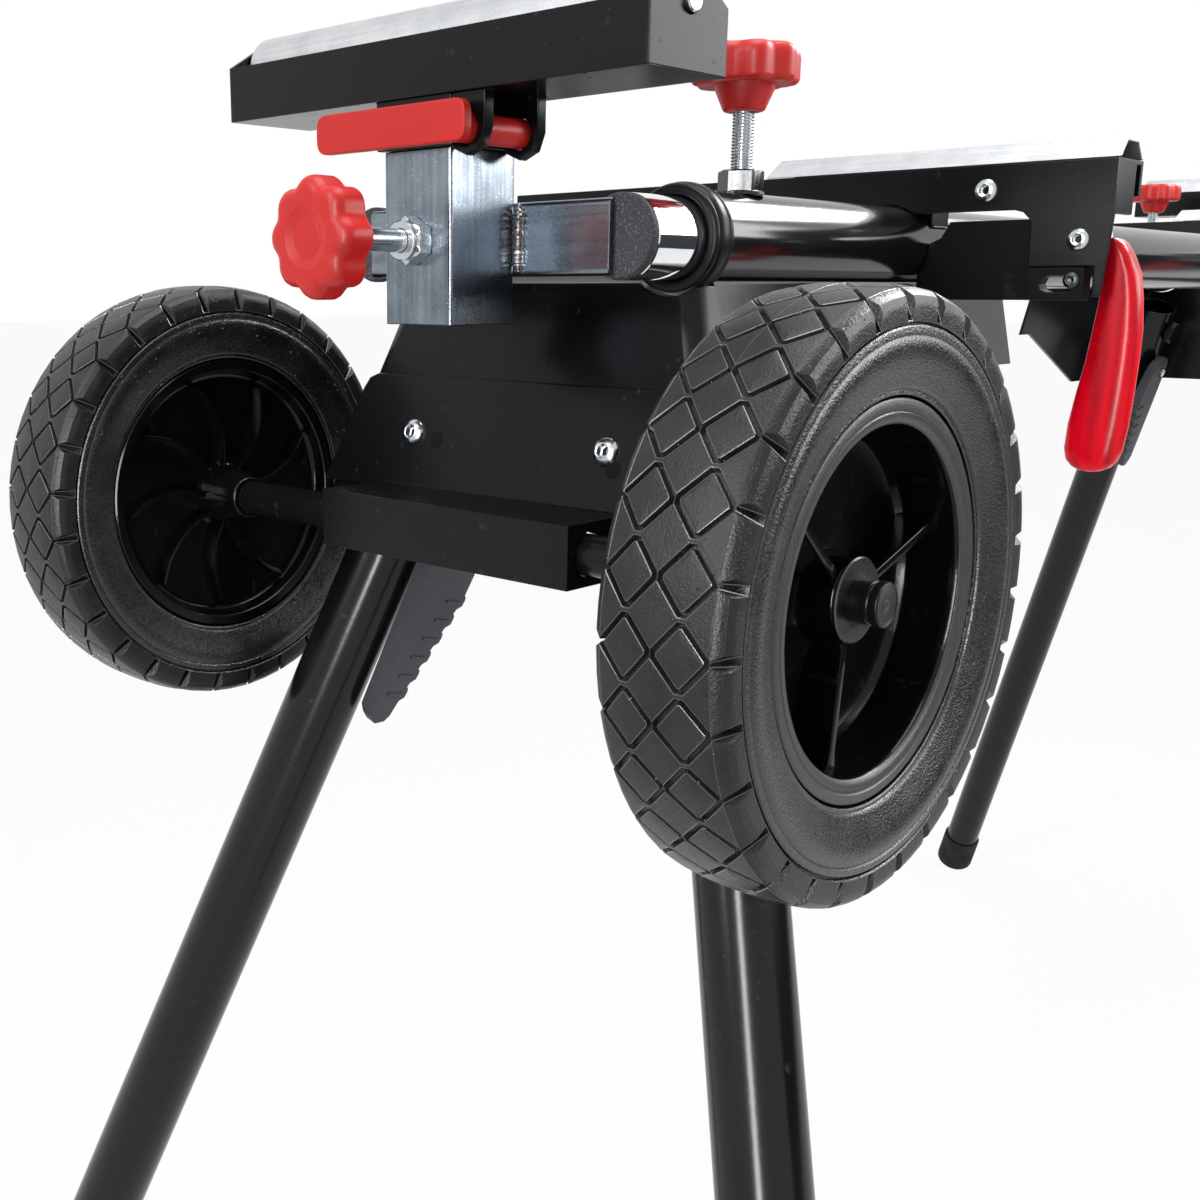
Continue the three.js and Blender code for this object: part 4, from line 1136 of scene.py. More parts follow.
@dataclass(frozen=True)
class Groove:
    """A groove of the tread, convex outside, that may leave a convex block standing in it.

    Points are (along the tread, across it) in millimetres.
    """

    outline: tuple[Point2, ...]
    depth: float
    slope: float
    block: tuple[Point2, ...] = ()
    lip: float = 0.3
    lip_depth: float = 0.14

    def inside(self, shape: Sequence[Point2], point: Point2) -> float:
        """Distance from a point to the nearest side of a shape, positive inside it.

        Args:
            shape: A convex shape, anticlockwise.
            point: The point.

        Returns:
            The distance to the nearest side.
        """
        nearest = 1e9
        for a, b in zip(shape, [*shape[1:], shape[0]]):
            along, across = b[0] - a[0], b[1] - a[1]
            length = math.hypot(along, across)
            away = (along * (point[1] - a[1]) - across * (point[0] - a[0])) / length
            nearest = min(nearest, away)
        return nearest

    def sunk(self, point: Point2) -> float:
        """Depth of the tread at a point, 0 outside the groove.

        Args:
            point: A point of the flat tread.

        Returns:
            How far the surface lies below the tread.
        """
        room = self.inside(self.outline, point)
        if self.block:
            room = min(room, -self.inside(self.block, point))
        lip_depth = self.lip_depth * min(1.0, self.depth)
        if room <= -self.lip:
            return 0.0
        if room <= 0.0:
            return lip_depth * (room + self.lip) / self.lip
        return lip_depth + (self.depth - self.lip_depth) * min(1.0, room / self.slope)

    def lines(self) -> list[list[Point2]]:
        """Closed lines along which the surface bends.

        Returns:
            The lines.
        """
        made = [inset(self.outline, -self.lip), list(self.outline), inset(self.outline, self.slope)]
        if self.block:
            made += [inset(self.block, self.lip), list(self.block), inset(self.block, -self.slope)]
        return made


@dataclass
class Tyre:
    """The tyre of a wheel: a diamond tread between shoulder blocks, and bulged side walls."""

    pitches: int = 29
    radius: float = 100.0
    # Half length, half width and half of the cut tips, of a diamond groove and of the block in it.
    ring: Point3 = (10.15, 9.25, 1.3)
    block: Point3 = (8.5, 7.5, 0.45)
    ring_middle: float = 9.35
    ring_slope: float = 0.4
    depth: float = 2.1
    # Where a shoulder's notch starts and ends across the tread.
    notch_reach: Point2 = (18.2, 30.45)
    notch_depth: float = 4.0
    notch_slope: float = 0.2
    # The crease at the foot of the shoulder and the mould's seam in the middle, with their gaps.
    shoulder: float = 18.8
    slit_depth: float = 0.3
    crease_gap: float = 2.2
    seam_gap: float = 2.6
    edge_reach: float = 30.6
    # Points of the section: way along the tread's surface, radius, half width.
    crown: tuple[Point3, ...] = (
        (0.0, 100.0, 0.0), (4.7, 99.95, 4.7), (9.4, 99.75, 9.4), (14.0, 99.3, 14.0),
        (18.8, 98.4, 18.65), (20.6, 97.5, 20.2), (22.6, 96.1, 21.6), (25.2, 93.8, 22.45),
        (28.0, 91.2, 22.5), (30.6, 88.6, 22.45),
    )
    # Points of the side wall: radius, half width.
    wall: tuple[Point2, ...] = (
        (88.6, 22.45), (88.1, 21.9), (87.9, 20.9), (87.6, 20.9), (87.35, 21.9), (86.9, 22.35),
        (85.9, 22.5), (84.9, 22.5), (84.5, 22.2), (84.3, 21.95), (84.0, 22.15), (83.0, 22.5),
        (81.0, 22.62), (79.0, 22.35), (77.0, 21.85), (75.0, 21.2), (73.0, 20.5), (71.0, 19.8),
        (69.4, 19.25), (68.5, 18.95), (68.0, 18.6), (67.7, 18.0), (67.2, 18.05), (66.6, 18.1),
        (66.15, 17.8), (66.0, 17.0), (66.0, 10.0),
    )

    @property
    def pitch(self) -> float:
        """Length of one repeat of the tread."""
        return 2 * math.pi * self.radius / self.pitches

    def grooves(self) -> list[Groove]:
        """The grooves of one repeat, on both halves of the tread.

        Returns:
            The grooves.
        """
        middle = self.pitch / 2
        made: list[Groove] = []
        for side in (-1, 1):
            across = side * self.ring_middle
            ring, block = (
                tuple((middle + u, across + v) for u, v in reversed(diamond(*sizes)))
                for sizes in (self.ring, self.block)
            )
            made.append(Groove(ring, self.depth, self.ring_slope, block))
            near, far = (side * reach for reach in self.notch_reach)
            notch = [(middle - 0.5, near), (middle + 0.5, near), (middle + 1.7, far), (middle - 1.3, far)]
            corners = tuple(notch if side > 0 else notch[::-1])
            made.append(Groove(corners, self.notch_depth, self.notch_slope))
            for start, end in self.runs(self.crease_gap):
                made.append(self.slit(start, end, side * self.shoulder, 0.2, 0.15))
        for start, end in self.runs(self.seam_gap):
            made.append(self.slit(start, end, 0.0, 0.16, 0.1))
        return made

    def runs(self, gap: float) -> tuple[Point2, Point2]:
        """The two runs along one repeat that keep a gap to its middle."""
        return (0.0, self.pitch / 2 - gap), (self.pitch / 2 + gap, self.pitch)

    def slit(self, start: float, end: float, across: float, half: float, slope: float) -> Groove:
        """A shallow straight groove along the tread.

        Args:
            start: Where it starts along the tread.
            end: Where it ends.
            across: Where its middle lies across the tread.
            half: Half its width.
            slope: Width of its sloping sides.

        Returns:
            The groove.
        """
        low, high = across - half, across + half
        corners = ((start, low), (end, low), (end, high), (start, high))
        return Groove(corners, self.slit_depth, slope)

    def surface(self, across: float) -> tuple[float, float, float, float]:
        """Where the bare tread lies.

        Args:
            across: Distance from the middle of the tread, along its surface.

        Returns:
            Radius and width there, and the two parts of the outward normal.
        """
        reach, side = abs(across), math.copysign(1.0, across)
        rows = self.crown
        for low, high in zip(rows, rows[1:]):
            if reach <= high[0] or high is rows[-1]:
                t = (reach - low[0]) / (high[0] - low[0])
                radius = low[1] + (high[1] - low[1]) * t
                width = low[2] + (high[2] - low[2]) * t
                run = Vector((high[1] - low[1], high[2] - low[2])).normalized()
                return radius, side * width, run.y, -side * run.x
        raise ValueError("the tread is narrower than that")

    def cell(self) -> tuple[list[Point2], list[float], list[tuple[int, ...]]]:
        """One repeat of the tread, flat.

        Returns:
            Its points, their depths and its triangles.
        """
        grooves, middle = self.grooves(), self.pitch / 2
        points: list[Point2] = []
        edges: list[tuple[int, int]] = []

        def line(shape: Sequence[Point2], closed: bool = True) -> None:
            """Adds a line along which triangles have to meet.

            Args:
                shape: Its points.
                closed: Whether its last point joins the first.
            """
            start = len(points)
            reach = self.edge_reach
            points.extend(
                (min(max(u, 0.0), self.pitch), min(max(v, -reach), reach)) for u, v in shape
            )
            last = len(shape) if closed else len(shape) - 1
            edges.extend((start + i, start + (i + 1) % len(shape)) for i in range(last))

        levels = [0.0, 0.36, 3.0, 6.0, 9.4, 12.4, 15.6, 18.5, self.shoulder, 19.1, 21.2, 23.6, 26.2,
                  28.6, self.edge_reach]
        marks = sorted({side * level for side in (-1, 1) for level in levels})
        for u in (0.0, self.pitch):
            line([(u, v) for v in marks], closed=False)
        steps = [self.pitch * k / 6 for k in range(7)]
        for v in (-self.edge_reach, self.edge_reach):
            line([(u, v) for u in steps], closed=False)
        for groove in grooves:
            for shape in groove.lines():
                line(shape)
        for side in (-1, 1):
            for v in (3.1, 6.2, self.ring_middle, 12.5, 15.6):
                points += [(middle + u, side * v) for u in (-3.4, 0.0, 3.4)]
            for across, _, _ in self.crown[5:9]:
                for start, end in self.runs(self.seam_gap):
                    line([(start, side * across), (end, side * across)], closed=False)
        made = delaunay_2d_cdt([Vector(p) for p in points], edges, [], 0, 1e-4)
        flat = [(p.x, p.y) for p in made[0]]
        sunk = [max(groove.sunk(p) for groove in grooves) for p in flat]
        return flat, sunk, [tuple(f) for f in made[2]]

    def form(self) -> Form:
        """The whole tyre about Z, its outer side up.

        Returns:
            The form; its finishes are tread, groove edges with a painted highlight, and side walls.
        """
        flat, sunk, faces = self.cell()
        sloped = {f for f in faces if max(sunk[i] for i in f) > min(sunk[i] for i in f) + 0.05}
        made = Form()
        for number in range(self.pitches):
            points = []
            for (u, v), depth in zip(flat, sunk):
                radius, width, out, aside = self.surface(v)
                angle = (u + number * self.pitch) / self.radius
                reach = radius - depth * out
                points.append((reach * math.cos(angle), reach * math.sin(angle), width - depth * aside))
            made.add(points, [f for f in faces if f not in sloped])
            # Sloping faces get the lighter grey that paints a highlight along the groove edges.
            made.add(points, [f for f in faces if f in sloped], coat=1)
        for side in (-1, 1):
            made.turn([(r, side * y) for r, y in self.wall], coat=2, sides=6 * self.pitches)
        return made


@dataclass
class Rim:
    """The moulded rim: three ribs outboard, curved fan ribs inboard and a long hub."""

    seat_r: float = 65.7
    half: float = 17.8
    opening: float = 56.6
    disc: float = -8.0
    hub_r: float = 14.0
    hub_out: float = 7.0
    hub_in: float = 33.0
    bore: float = 6.1
    fans: int = 9
    ribs: tuple[float, ...] = (20, 140, 260)
    washer_r: float = 14.3
    flared: float = 48.0
    blade_turn: Point2 = (126.0, 49.0)
    blade_low: float = -15.8

    def form(self) -> Form:
        """The rim about Z, its outer side up; its finishes are plastic and the duller lip.

        Returns:
            Its form.
        """
        o, d = self.opening, self.disc
        lip = [
            (self.seat_r - 0.5, self.half - 0.5), (self.seat_r - 1.3, self.half), (62.0, self.half),
            (61.5, self.half - 0.5), (61.0, self.half - 0.55), (60.6, self.half - 0.2),
            (59.4, self.half - 0.3), (58.0, self.half - 0.7), (57.1, self.half - 1.6),
        ]
        barrel = [
            (self.bore, self.hub_out - 0.6), (self.bore, -self.hub_in + 0.5),
            (self.bore + 0.5, -self.hub_in), (self.hub_r - 4.8, -self.hub_in),
            (self.hub_r - 4, -self.hub_in + 0.8), (self.hub_r - 1, -20.0), (self.hub_r, d - 4.5),
            (self.hub_r + 1.2, d - 2.6), (self.hub_r + 3.5, d - 2.0), (o - 1.5, d - 2.0),
            (o + 1.2, d - 3.0), (o + 2.6, d - 5.2), (o + 3.2, -self.half + 1.0),
            (o + 4.2, -self.half), (self.seat_r - 1.2, -self.half), (self.seat_r, -self.half + 1.2),
            (self.seat_r, self.half - 1.6), lip[0],
        ]
        dish = [
            lip[-1], (o, self.half - 3.2),
            (o - 0.3, 12.0), (o - 1.4, -1.0), (o - 1.9, d + 5.5), (o - 3.1, d + 3.2),
            (o - 5.6, d + 2.1), (o - 8.5, d + 2.0), (self.hub_r + 3.6, d + 2.0),
            (self.hub_r + 1.0, d + 2.8), (self.hub_r - 0.2, d + 5.0), (self.hub_r - 0.8, self.hub_out - 1),
            (self.hub_r - 1.6, self.hub_out), (self.bore + 0.6, self.hub_out),
        ]
        made = Form().turn(dish + barrel, sides=96)
        made.turn(lip, sides=96, coat=1)
        for degrees in self.ribs:
            made.merge(self.spoke(), spin(degrees, "Z"))
        for number in range(self.fans):
            made.merge(self.blade(), spin(360 * number / self.fans, "Z"))
        return made

    def spoke(self) -> Form:
        """A rib along +X from under the washer to the barrel.

        Returns:
            Its form.
        """
        rings = []
        start, end = self.hub_r - 2, self.opening + 0.3
        for x in (start, self.washer_r + 0.5, self.washer_r + 1.6, 22.0, 32.0, 42.0, 50.0, 54.0, end):
            rise = 1.5 * max(0.0, x - self.washer_r) / (end - self.washer_r)
            top = self.hub_out + rise - (1.0 if x < self.washer_r + 1 else 0.0)
            flare = 1.6 * max(0.0, (x - self.flared) / (end - self.flared)) ** 2
            rings.append([
                (x, -2.6 - flare, self.disc), (x, 2.6 + flare, self.disc),
                (x, 1.8 + flare, top - 1.2), (x, 1.6 + flare, top - 0.3), (x, 1.2 + flare, top),
                (x, -1.2 - flare, top), (x, -1.6 - flare, top - 0.3), (x, -1.8 - flare, top - 1.2),
            ])
        return Form().loft(rings)

    def blade(self) -> Form:
        """A curved blade of the inboard side.

        Returns:
            Its form.
        """
        reach = self.opening + 1
        centre = (reach * 0.5, -reach * 0.62)
        radius = math.hypot(centre[0] - self.hub_r + 2, centre[1])
        rings, steps = [], 10
        for step, (x, y) in enumerate(arc(centre, radius, *self.blade_turn, steps)):
            away = Vector((x - centre[0], y - centre[1])).normalized()
            low = self.blade_low + 1.6 * (step / steps) ** 2
            profile = [(-1.7, self.disc), (1.7, self.disc), (1.2, low + 1.0), (0.6, low),
                       (-0.6, low), (-1.2, low + 1.0)]
            rings.append([(x + away.x * w, y + away.y * w, z) for w, z in profile][::-1])
        return Form().loft(rings)


@dataclass
class Wheel:
    """A wheel with its tyre, rim, washer and the pressed cap on the axle's end."""

    name: str
    side: int
    middle: float = 171.4
    tyre_sharp: float = 22.0

    def place(self) -> Matrix:
        """Where the wheel's own place, outer side up, lies in the stand.

        Returns:
            The place.
        """
        face = spin(-90 if self.side > 0 else 90, "X")
        turn = spin(180 if self.side > 0 else 0, "Y")
        return shift(-HALF_SPAN, self.side * self.middle, AXLE_HEIGHT) @ turn @ face

    def cap(self) -> Form:
        """Washer and cap; its finishes are steel, black plastic and dull steel.

        Returns:
            Their form.
        """
        washer = [(7.2, 7.35), (13.7, 7.3), (14.25, 7.7), (14.3, 8.5), (13.8, 9.05), (9.4, 9.1),
                  (8.0, 8.9), (7.2, 8.9)]
        shell = [(7.2, 8.6), (7.35, 9.2), (7.4, 14.6), (6.7, 15.0), (6.5, 15.5), (6.7, 16.0),
                 (7.5, 16.3), (7.6, 18.3), (7.3, 18.9), (6.6, 19.15), (6.1, 18.95)]
        face = [(6.15, 18.95), (5.4, 18.75), (4.3, 18.8), (3.9, 18.6), (2.2, 18.6), (1.8, 18.8), (0, 18.85)]
        made = Form().turn(washer, sides=64, loop=True)
        made.turn(shell, sides=48, coat=1)
        return made.turn(face, sides=48, coat=2)

    def build(self, shop: Workshop, tyre: Form, rim: Form) -> None:
        """Makes the wheel's pieces.

        Args:
            shop: Makes the objects.
            tyre: The shape of a tyre.
            rim: The shape of a rim.
        """
        place = self.place()
        tyre_finishes = [TYRE, TREAD_EDGE_PAINTED_HIGHLIGHT, SIDE_WALL]
        shop.stand_for(self.name + "_tyre", Form().merge(tyre, place), tyre_finishes, self.tyre_sharp)
        shop.stand_for(self.name + "_rim", Form().merge(rim, place), [WHEEL_PLASTIC, LIP_PLASTIC])
        cap = Form().merge(self.cap(), place)
        shop.stand_for(self.name + "_axle_cap", cap, [DARK_STEEL, COLLAR_PLASTIC, DULL_STEEL])


# ---------------------------------------------------------------- knobs, tubes and their ends


@dataclass
class StarKnob:
    """A moulded star knob with its screw; the screw's tip is at Z = 0 and the knob above it."""

    seat: float
    threaded: bool
    radius: float = 21.8
    wave: float = 1.25
    lobes: int = 8
    thick: float = 15.0
    hub: float = 10.0
    play: float = 0.1
    pitch: float = 1.25
    thread_depth: float = 0.6
    tip: float = 0.9

    @property
    def count(self) -> int:
        """Number of points around the star."""
        return self.lobes * 16

    def edge(self, inwards: float, height: float) -> list[Point3]:
        """One ring of the star, moved inwards and set at a height.

        Args:
            inwards: How far it moves inwards.
            height: Its height.

        Returns:
            Its points.
        """
        reaches = []
        for k in range(self.count):
            swell = math.cos(self.lobes * (2 * math.pi * k / self.count))
            lobe = self.wave * (swell + 0.22 * (1 - swell * swell))
            reaches.append(self.radius - self.wave - inwards + lobe * (1 - inwards / 26))
        return polar(reaches, height)

    def form(self) -> Form:
        """The knob and its screw; its finishes are plastic and plated steel.

        Returns:
            Their form.
        """
        low = self.seat + self.hub
        top = low + self.thick
        made = Form()
        rings = [self.edge(inwards, low + up) for inwards, up in (
            (8.0, 0.6), (5.0, 0.15), (3.2, 0.0), (1.5, 0.35), (0.5, 1.1), (0.05, 2.3))]
        rings += [self.edge(inwards, top - down) for inwards, down in (
            (0.0, 5.2), (0.25, 3.6), (0.95, 2.1), (2.1, 0.9), (3.5, 0.25), (5.0, 0.0))]
        rings += [polar([reach] * self.count, top - down) for reach, down in (
            (11.6, 0.0), (11.0, 0.12), (10.4, 0.45), (7.9, 1.2), (7.3, 1.35), (6.9, 1.3),
            (6.6, 1.15), (6.3, 1.1), (2.0, 1.1))]
        made.loft(rings)
        skirt = [(12.2, low + 0.8), (11.6, low - 2.0), (9.6, low - 6.5), (8.6, self.seat + 1.2),
                 (8.0, self.seat + 0.4), (6.8, self.seat), (4.4, self.seat)]
        made.turn(skirt, sides=64)
        if self.threaded:
            made.merge(self.thread(self.seat + 1.0))
        else:
            made.rod(SCREW_R - self.play, 0.0, self.seat + 1.0, coat=1, edge=0.8)
        return made

    def thread(self, high: float) -> Form:
        """A threaded screw from Z = 0 to a height.

        Args:
            high: Height of its upper end.

        Returns:
            Its form.
        """
        sides, rows = 24, int(high / self.pitch * 6)
        rings = []
        for row in range(rows + 1):
            height = high * row / rows
            reaches = []
            for k in range(sides):
                turn = (height / self.pitch - k / sides) % 1.0
                share = max(0.0, 1 - abs(turn - 0.5) * 2.6) if height > self.tip else 1.0
                reaches.append(SCREW_R - self.play - self.thread_depth * share)
            rings.append(polar(reaches, height))
        return Form().loft(rings, coat=1)


def weld_bead(
    start: Sequence[float], end: Sequence[float], width: float, seed: int, flat: float = 0.55
) -> Form:
    """A bead of weld metal along a line, a row of overlapping ripples.

    Args:
        start: Its first point.
        end: Its last point.
        width: Its width in millimetres.
        seed: Number that fixes its unevenness.
        flat: Height of the bead as a share of its half width.

    Returns:
        The bead.
    """
    spacing, ripple_pitch, sides = 0.55, 2.3, 14
    chance = random.Random(seed)
    a, b = Vector(start), Vector(end)
    run = b - a
    count = max(8, int(run.length / spacing))
    ahead = run.normalized()
    beside = ahead.orthogonal().normalized()
    up = ahead.cross(beside)
    phase = chance.random() * 6
    rings = []
    for i in range(count + 1):
        t = i / count
        taper = min(1.0, 5.5 * min(t, 1 - t) + 0.12)
        ripple = 0.84 + 0.16 * abs(math.sin(phase + t * run.length / ripple_pitch * math.pi))
        size = width / 2 * taper * ripple * (0.9 + 0.2 * chance.random())
        drift = (chance.random() - 0.5) * width * 0.1
        centre = a + run * t + beside * drift
        rings.append([
            centre + beside * size * math.cos(w) + up * size * math.sin(w) * (flat + 0.4)
            for w in (2 * math.pi * k / sides for k in range(sides))
        ])
    return Form().loft(rings)


# ---------------------------------------------------------------- ends of the stand


class End(Enum):
    """The two ends of the stand."""

    WHEEL = "wheel_end"
    FAR = "far_end"

    @property
    def place(self) -> Matrix:
        """Where the end's own place lies in the stand."""
        if self is End.WHEEL:
            return shift(-HALF_SPAN, 0, AXLE_HEIGHT)
        return shift(HALF_SPAN, 0, AXLE_HEIGHT) @ spin(180, "Z")

    @property
    def pivot(self) -> float:
        """Height of the legs' pivots above the axle, higher at the far end."""
        return 24.0 if self is End.WHEEL else 64.0


@dataclass
class Axle:
    """The axle, one round bar with turned-down ends."""

    radius: float = 8.0
    half: float = 137.8
    end_r: float = 6.0
    end_half: float = 188.8

    def build(self, shop: Workshop) -> None:
        """Makes the axle; its finishes are paint and dark steel.

        Args:
            shop: Makes the objects.
        """
        place = End.WHEEL.place @ ALONG_Y
        made = Form().rod(self.radius, -self.half, self.half, place, 0, 0.6)
        made.rod(self.end_r, -self.end_half, self.end_half, place, 1, 0.5)
        shop.stand_for("axle", made, [BLACK_PAINT, DARK_STEEL])


@dataclass
class PullOutHead:
    """The cross bar between the pull-out tubes with its welded sleeve, post, knob and tubes."""

    end: End
    bar: float = 28.0
    bar_front: float = 14.0
    sleeve: float = 36.0
    post: float = 31.0
    sleeve_low: float = 84.5
    sleeve_high: float = 149.5
    sheet: float = 2.0
    sleeve_corner: float = 1.5
    bar_corner: float = 2.4
    post_corner: float = 1.2
    post_length: float = 60.0
    screw_z: float = 116.0
    collar_r: float = 21.5
    side_bead: float = 6.8
    end_bead: float = 3.6

    def square_tube(
        self, size: float, wall: float, low: float, high: float, corner: float, place: Matrix
    ) -> Form:
        """A square tube along Z with rounded corners and softened ends.

        Args:
            size: Its outer width.
            wall: Thickness of its wall.
            low: Height of its lower end.
            high: Height of its upper end.
            corner: Radius of its corners.
            place: Where its place lies.

        Returns:
            Its form.
        """
        half = size / 2
        shape = [(-half, -half), (half, -half), (half, half), (-half, half)]
        inner = [(x - math.copysign(wall, x), y - math.copysign(wall, y)) for x, y in shape]
        rims = []
        for share, height in ((0.3, low), (0.0, low + 0.3), (0.0, high - 0.3), (0.3, high)):
            rims.append([(x, y, height) for x, y in inset(rounded(shape, corner, 6), share)])
        for share, height in ((-0.25, high), (0.0, high - 0.3), (0.0, low + 0.3), (-0.25, low)):
            bore = inset(rounded(inner, max(0.6, corner - wall), 6), share)
            rims.append([(x, y, height) for x, y in bore])
        return Form().loft(rims, place, loop=True)

    def head(self) -> Form:
        """Bar, sleeve, nut and weld beads; its finishes are zinc up, zinc across, steel, weld.

        Returns:
            Their form.
        """
        made = Form()
        front, half = self.bar_front, self.bar / 2
        made.merge(self.square_tube(
            self.sleeve, self.sheet, self.sleeve_low, self.sleeve_high, self.sleeve_corner,
            shift(SLEEVE_X)))
        made.merge(self.square_tube(
            self.bar, self.sheet, -RAIL_Y + 2.0, RAIL_Y - 2.0, self.bar_corner,
            shift(front + half, 0, RAIL_Z) @ spin(-90, "X")).coated(1))
        bolt = shift(SLEEVE_X - self.sleeve / 2, 0, self.screw_z) @ spin(-90, "Y")
        bore, seat = SCREW_R + 0.15, NUT - 2.0
        made.nut(NUT_CORNERS, -0.3, seat, bore, bolt, coat=2)
        collar = [(bore, seat), (7.0, seat), (7.4, NUT - 1.6), (7.4, NUT - 0.4), (7.0, NUT), (bore, NUT)]
        made.turn(collar, bolt, 2, 40, loop=True)
        edge = self.sleeve / 2
        for number, side in enumerate((-1, 1)):
            x, y = front - 0.2, side * (edge + 2.6)
            low, high = (x, y, RAIL_Z - half + 0.6), (x, y, RAIL_Z + half - 0.6)
            made.merge(weld_bead(low, high, self.side_bead, 11 + number, 0.35).coated(3))
        for number, up in enumerate((-1, 1)):
            x, z = front + 0.6, RAIL_Z + up * (half + 0.2)
            low, high = (x, -edge + 2, z), (x, edge - 2, z)
            made.merge(weld_bead(low, high, self.end_bead, 21 + number).coated(3))
        return made

    def cap(self) -> Form:
        """The grained plug in the tube's mouth, outer face down at Z = 0 of the flange.

        Returns:
            Its form.
        """
        r, shank = TUBE_R, TUBE_R - TUBE_WALL - GAP
        return Form().turn(
            [(0, -4.0), (r * 0.5, -4.0), (r - 1.2, -3.95), (r - 0.95, -3.8), (r - 0.25, -3.0),
             (r, -2.6), (r, -GAP - 0.25), (r - 0.25, -GAP), (shank, -GAP),
             (shank, 11.5), (shank - 0.7, 12.0), (0, 12.0)], sides=64)

    def collar(self) -> Form:
        """The ribbed ring over the rail's mouth, its lip towards -Z.

        Returns:
            Its form.
        """
        bore, r = TUBE_R + GAP, self.collar_r
        spigot, seat = RAIL_R - RAIL_WALL - GAP, RAIL_R + GAP
        profile = [
            (bore, 20.0), (bore, -2.4), (bore + 0.5, -3.4), (bore + 1.6, -4.0), (r - 3.0, -4.0),
            (r - 1.7, -3.7), (r - 0.9, -3.0), (r - 0.6, -2.0), (r - 0.85, -1.2), (r - 1.1, -0.9),
            (r - 0.85, -0.6), (r - 0.3, 0.1), (r, 1.4), (r, 3.6), (r - 0.3, 4.9), (r - 0.8, 5.5),
            (r - 0.55, 6.1), (r - 0.35, 6.9), (r - 0.5, 7.6), (r - 1.2, 8.0), (seat, 8.0),
            (seat, -GAP), (spigot, -GAP), (spigot, 20.0),
        ]
        return Form().turn(profile, sides=72, loop=True)

    def build(self, shop: Workshop) -> None:
        """Makes the pieces of the pull-out arm.

        Args:
            shop: Makes the objects.
        """
        name, place = self.end.value, self.end.place
        shop.stand_for(name + "_head", Form().merge(self.head(), place),
                       [ZINC_UP, ZINC_ACROSS, HARDWARE, WELD_METAL])
        top = self.sleeve_high
        post = self.square_tube(
            self.post, self.sheet, top - self.post_length, top, self.post_corner, shift(SLEEVE_X))
        shop.stand_for(name + "_post", Form().merge(post, place), [ZINC_UP])
        knob = StarKnob(NUT + 2.0 + SCREW_FREE, threaded=False).form()
        at = shift(SLEEVE_X - self.post / 2 - GAP, 0, self.screw_z) @ spin(-90, "Y")
        shop.stand_for(name + "_post_knob", Form().merge(knob, place @ at), [KNOB_PLASTIC, HARDWARE])
        for label, side in SIDES:
            at = place @ shift(0, side * RAIL_Y, RAIL_Z) @ ALONG_X
            tube = Form().pipe(TUBE_R, TUBE_WALL, TUBE_START, TUBE_START + TUBE_LENGTH, at)
            shop.stand_for(f"{name}_tube_{label}", tube, [CHROME])
            cap = Form().merge(self.cap(), at @ shift(z=TUBE_START))
            shop.stand_for(f"{name}_cap_{label}", cap, [CAP_PLASTIC])
            collar = Form().merge(self.collar(), at @ shift(z=RAIL_START))
            shop.stand_for(f"{name}_collar_{label}", collar, [COLLAR_PLASTIC])


@dataclass
class WorkSupport:
    """The tray on the post with its roller and flip stop."""

    end: End
    bottom: float = 149.8
    block: float = 18.0
    block_width: float = 40.0
    length: float = 220.0
    width: float = 44.0
    flange: float = 22.0
    roller_r: float = 14.0
    pin_r: float = 4.0
    stop_pin_r: float = 5.5
    stop_length: float = 74.0
    stop_height: float = 15.0
    stop_thick: float = 4.0

    def roller(self) -> Form:
        """The roller along Z with its pins; its finishes are tube and steel.

        Returns:
            Its form.
        """
        face, r = self.length / 2 - SHEET - 1, self.roller_r
        made = Form().turn(
            [(r - 2.6, -face + 0.9), (r - 2.2, -face + 0.2), (r - 1.2, -face), (r - 0.3, -face + 0.35),
             (r, -face + 1.2), (r, face - 1.2), (r - 0.3, face - 0.35), (r - 1.2, face),
             (r - 2.2, face - 0.2), (r - 2.6, face - 0.9)], sides=64)
        for side in (-1, 1):
            plug = [(r - 2.5, face - 0.9), (r - 3.2, face - 1.6), (7.5, face - 1.4), (6.5, face - 0.4),
                    (self.pin_r, face - 0.2), (self.pin_r, self.length / 2 + 1.4),
                    (self.pin_r - 0.6, self.length / 2 + 2), (0, self.length / 2 + 2)]
            made.turn([(reach, side * z) for reach, z in plug], coat=1, sides=48)
        return made

    def stop(self) -> Form:
        """The flip stop: an arm outside the tray with a pin under it.

        Returns:
            Its form.
        """
        stop_y = -self.block_width / 2 - self.stop_pin_r - 1
        stop_z = self.bottom + self.stop_pin_r
        front = -self.width / 2 - GAP - 1
        half, low = self.stop_height / 2, self.bottom
        corners = [(stop_y - half, low), (stop_y + self.stop_length, low),
                   (stop_y + self.stop_length, low + self.stop_height),
                   (stop_y - half, low + self.stop_height)]
        made = Form().plate(rounded(corners, 5.5, 6), front - self.stop_thick, front, ALONG_X, edge=0.7)
        made.rod(self.stop_pin_r - 0.05, front - 0.5, self.width / 2 - 5,
                 shift(0, stop_y, stop_z) @ ALONG_X, edge=0.5)
        return made

    def build(self, shop: Workshop) -> None:
        """Makes the pieces of the work support.

        Args:
            shop: Makes the objects.
        """
        name = self.end.value
        place = self.end.place @ shift(SLEEVE_X)
        shop.stand_for(name + "_tray", shop.eased(name + "_tray", 0.6), [BLACK_PAINT])
        top = self.bottom + self.block + self.flange
        roller = Form().merge(self.roller(), place @ shift(0, 0, top) @ ALONG_Y)
        shop.stand_for(name + "_roller", roller, [PALE_ZINC_AND_PAINTED_SHEEN, HARDWARE])
        shop.stand_for(name + "_stop", Form().merge(self.stop(), place), [KNOB_PLASTIC])


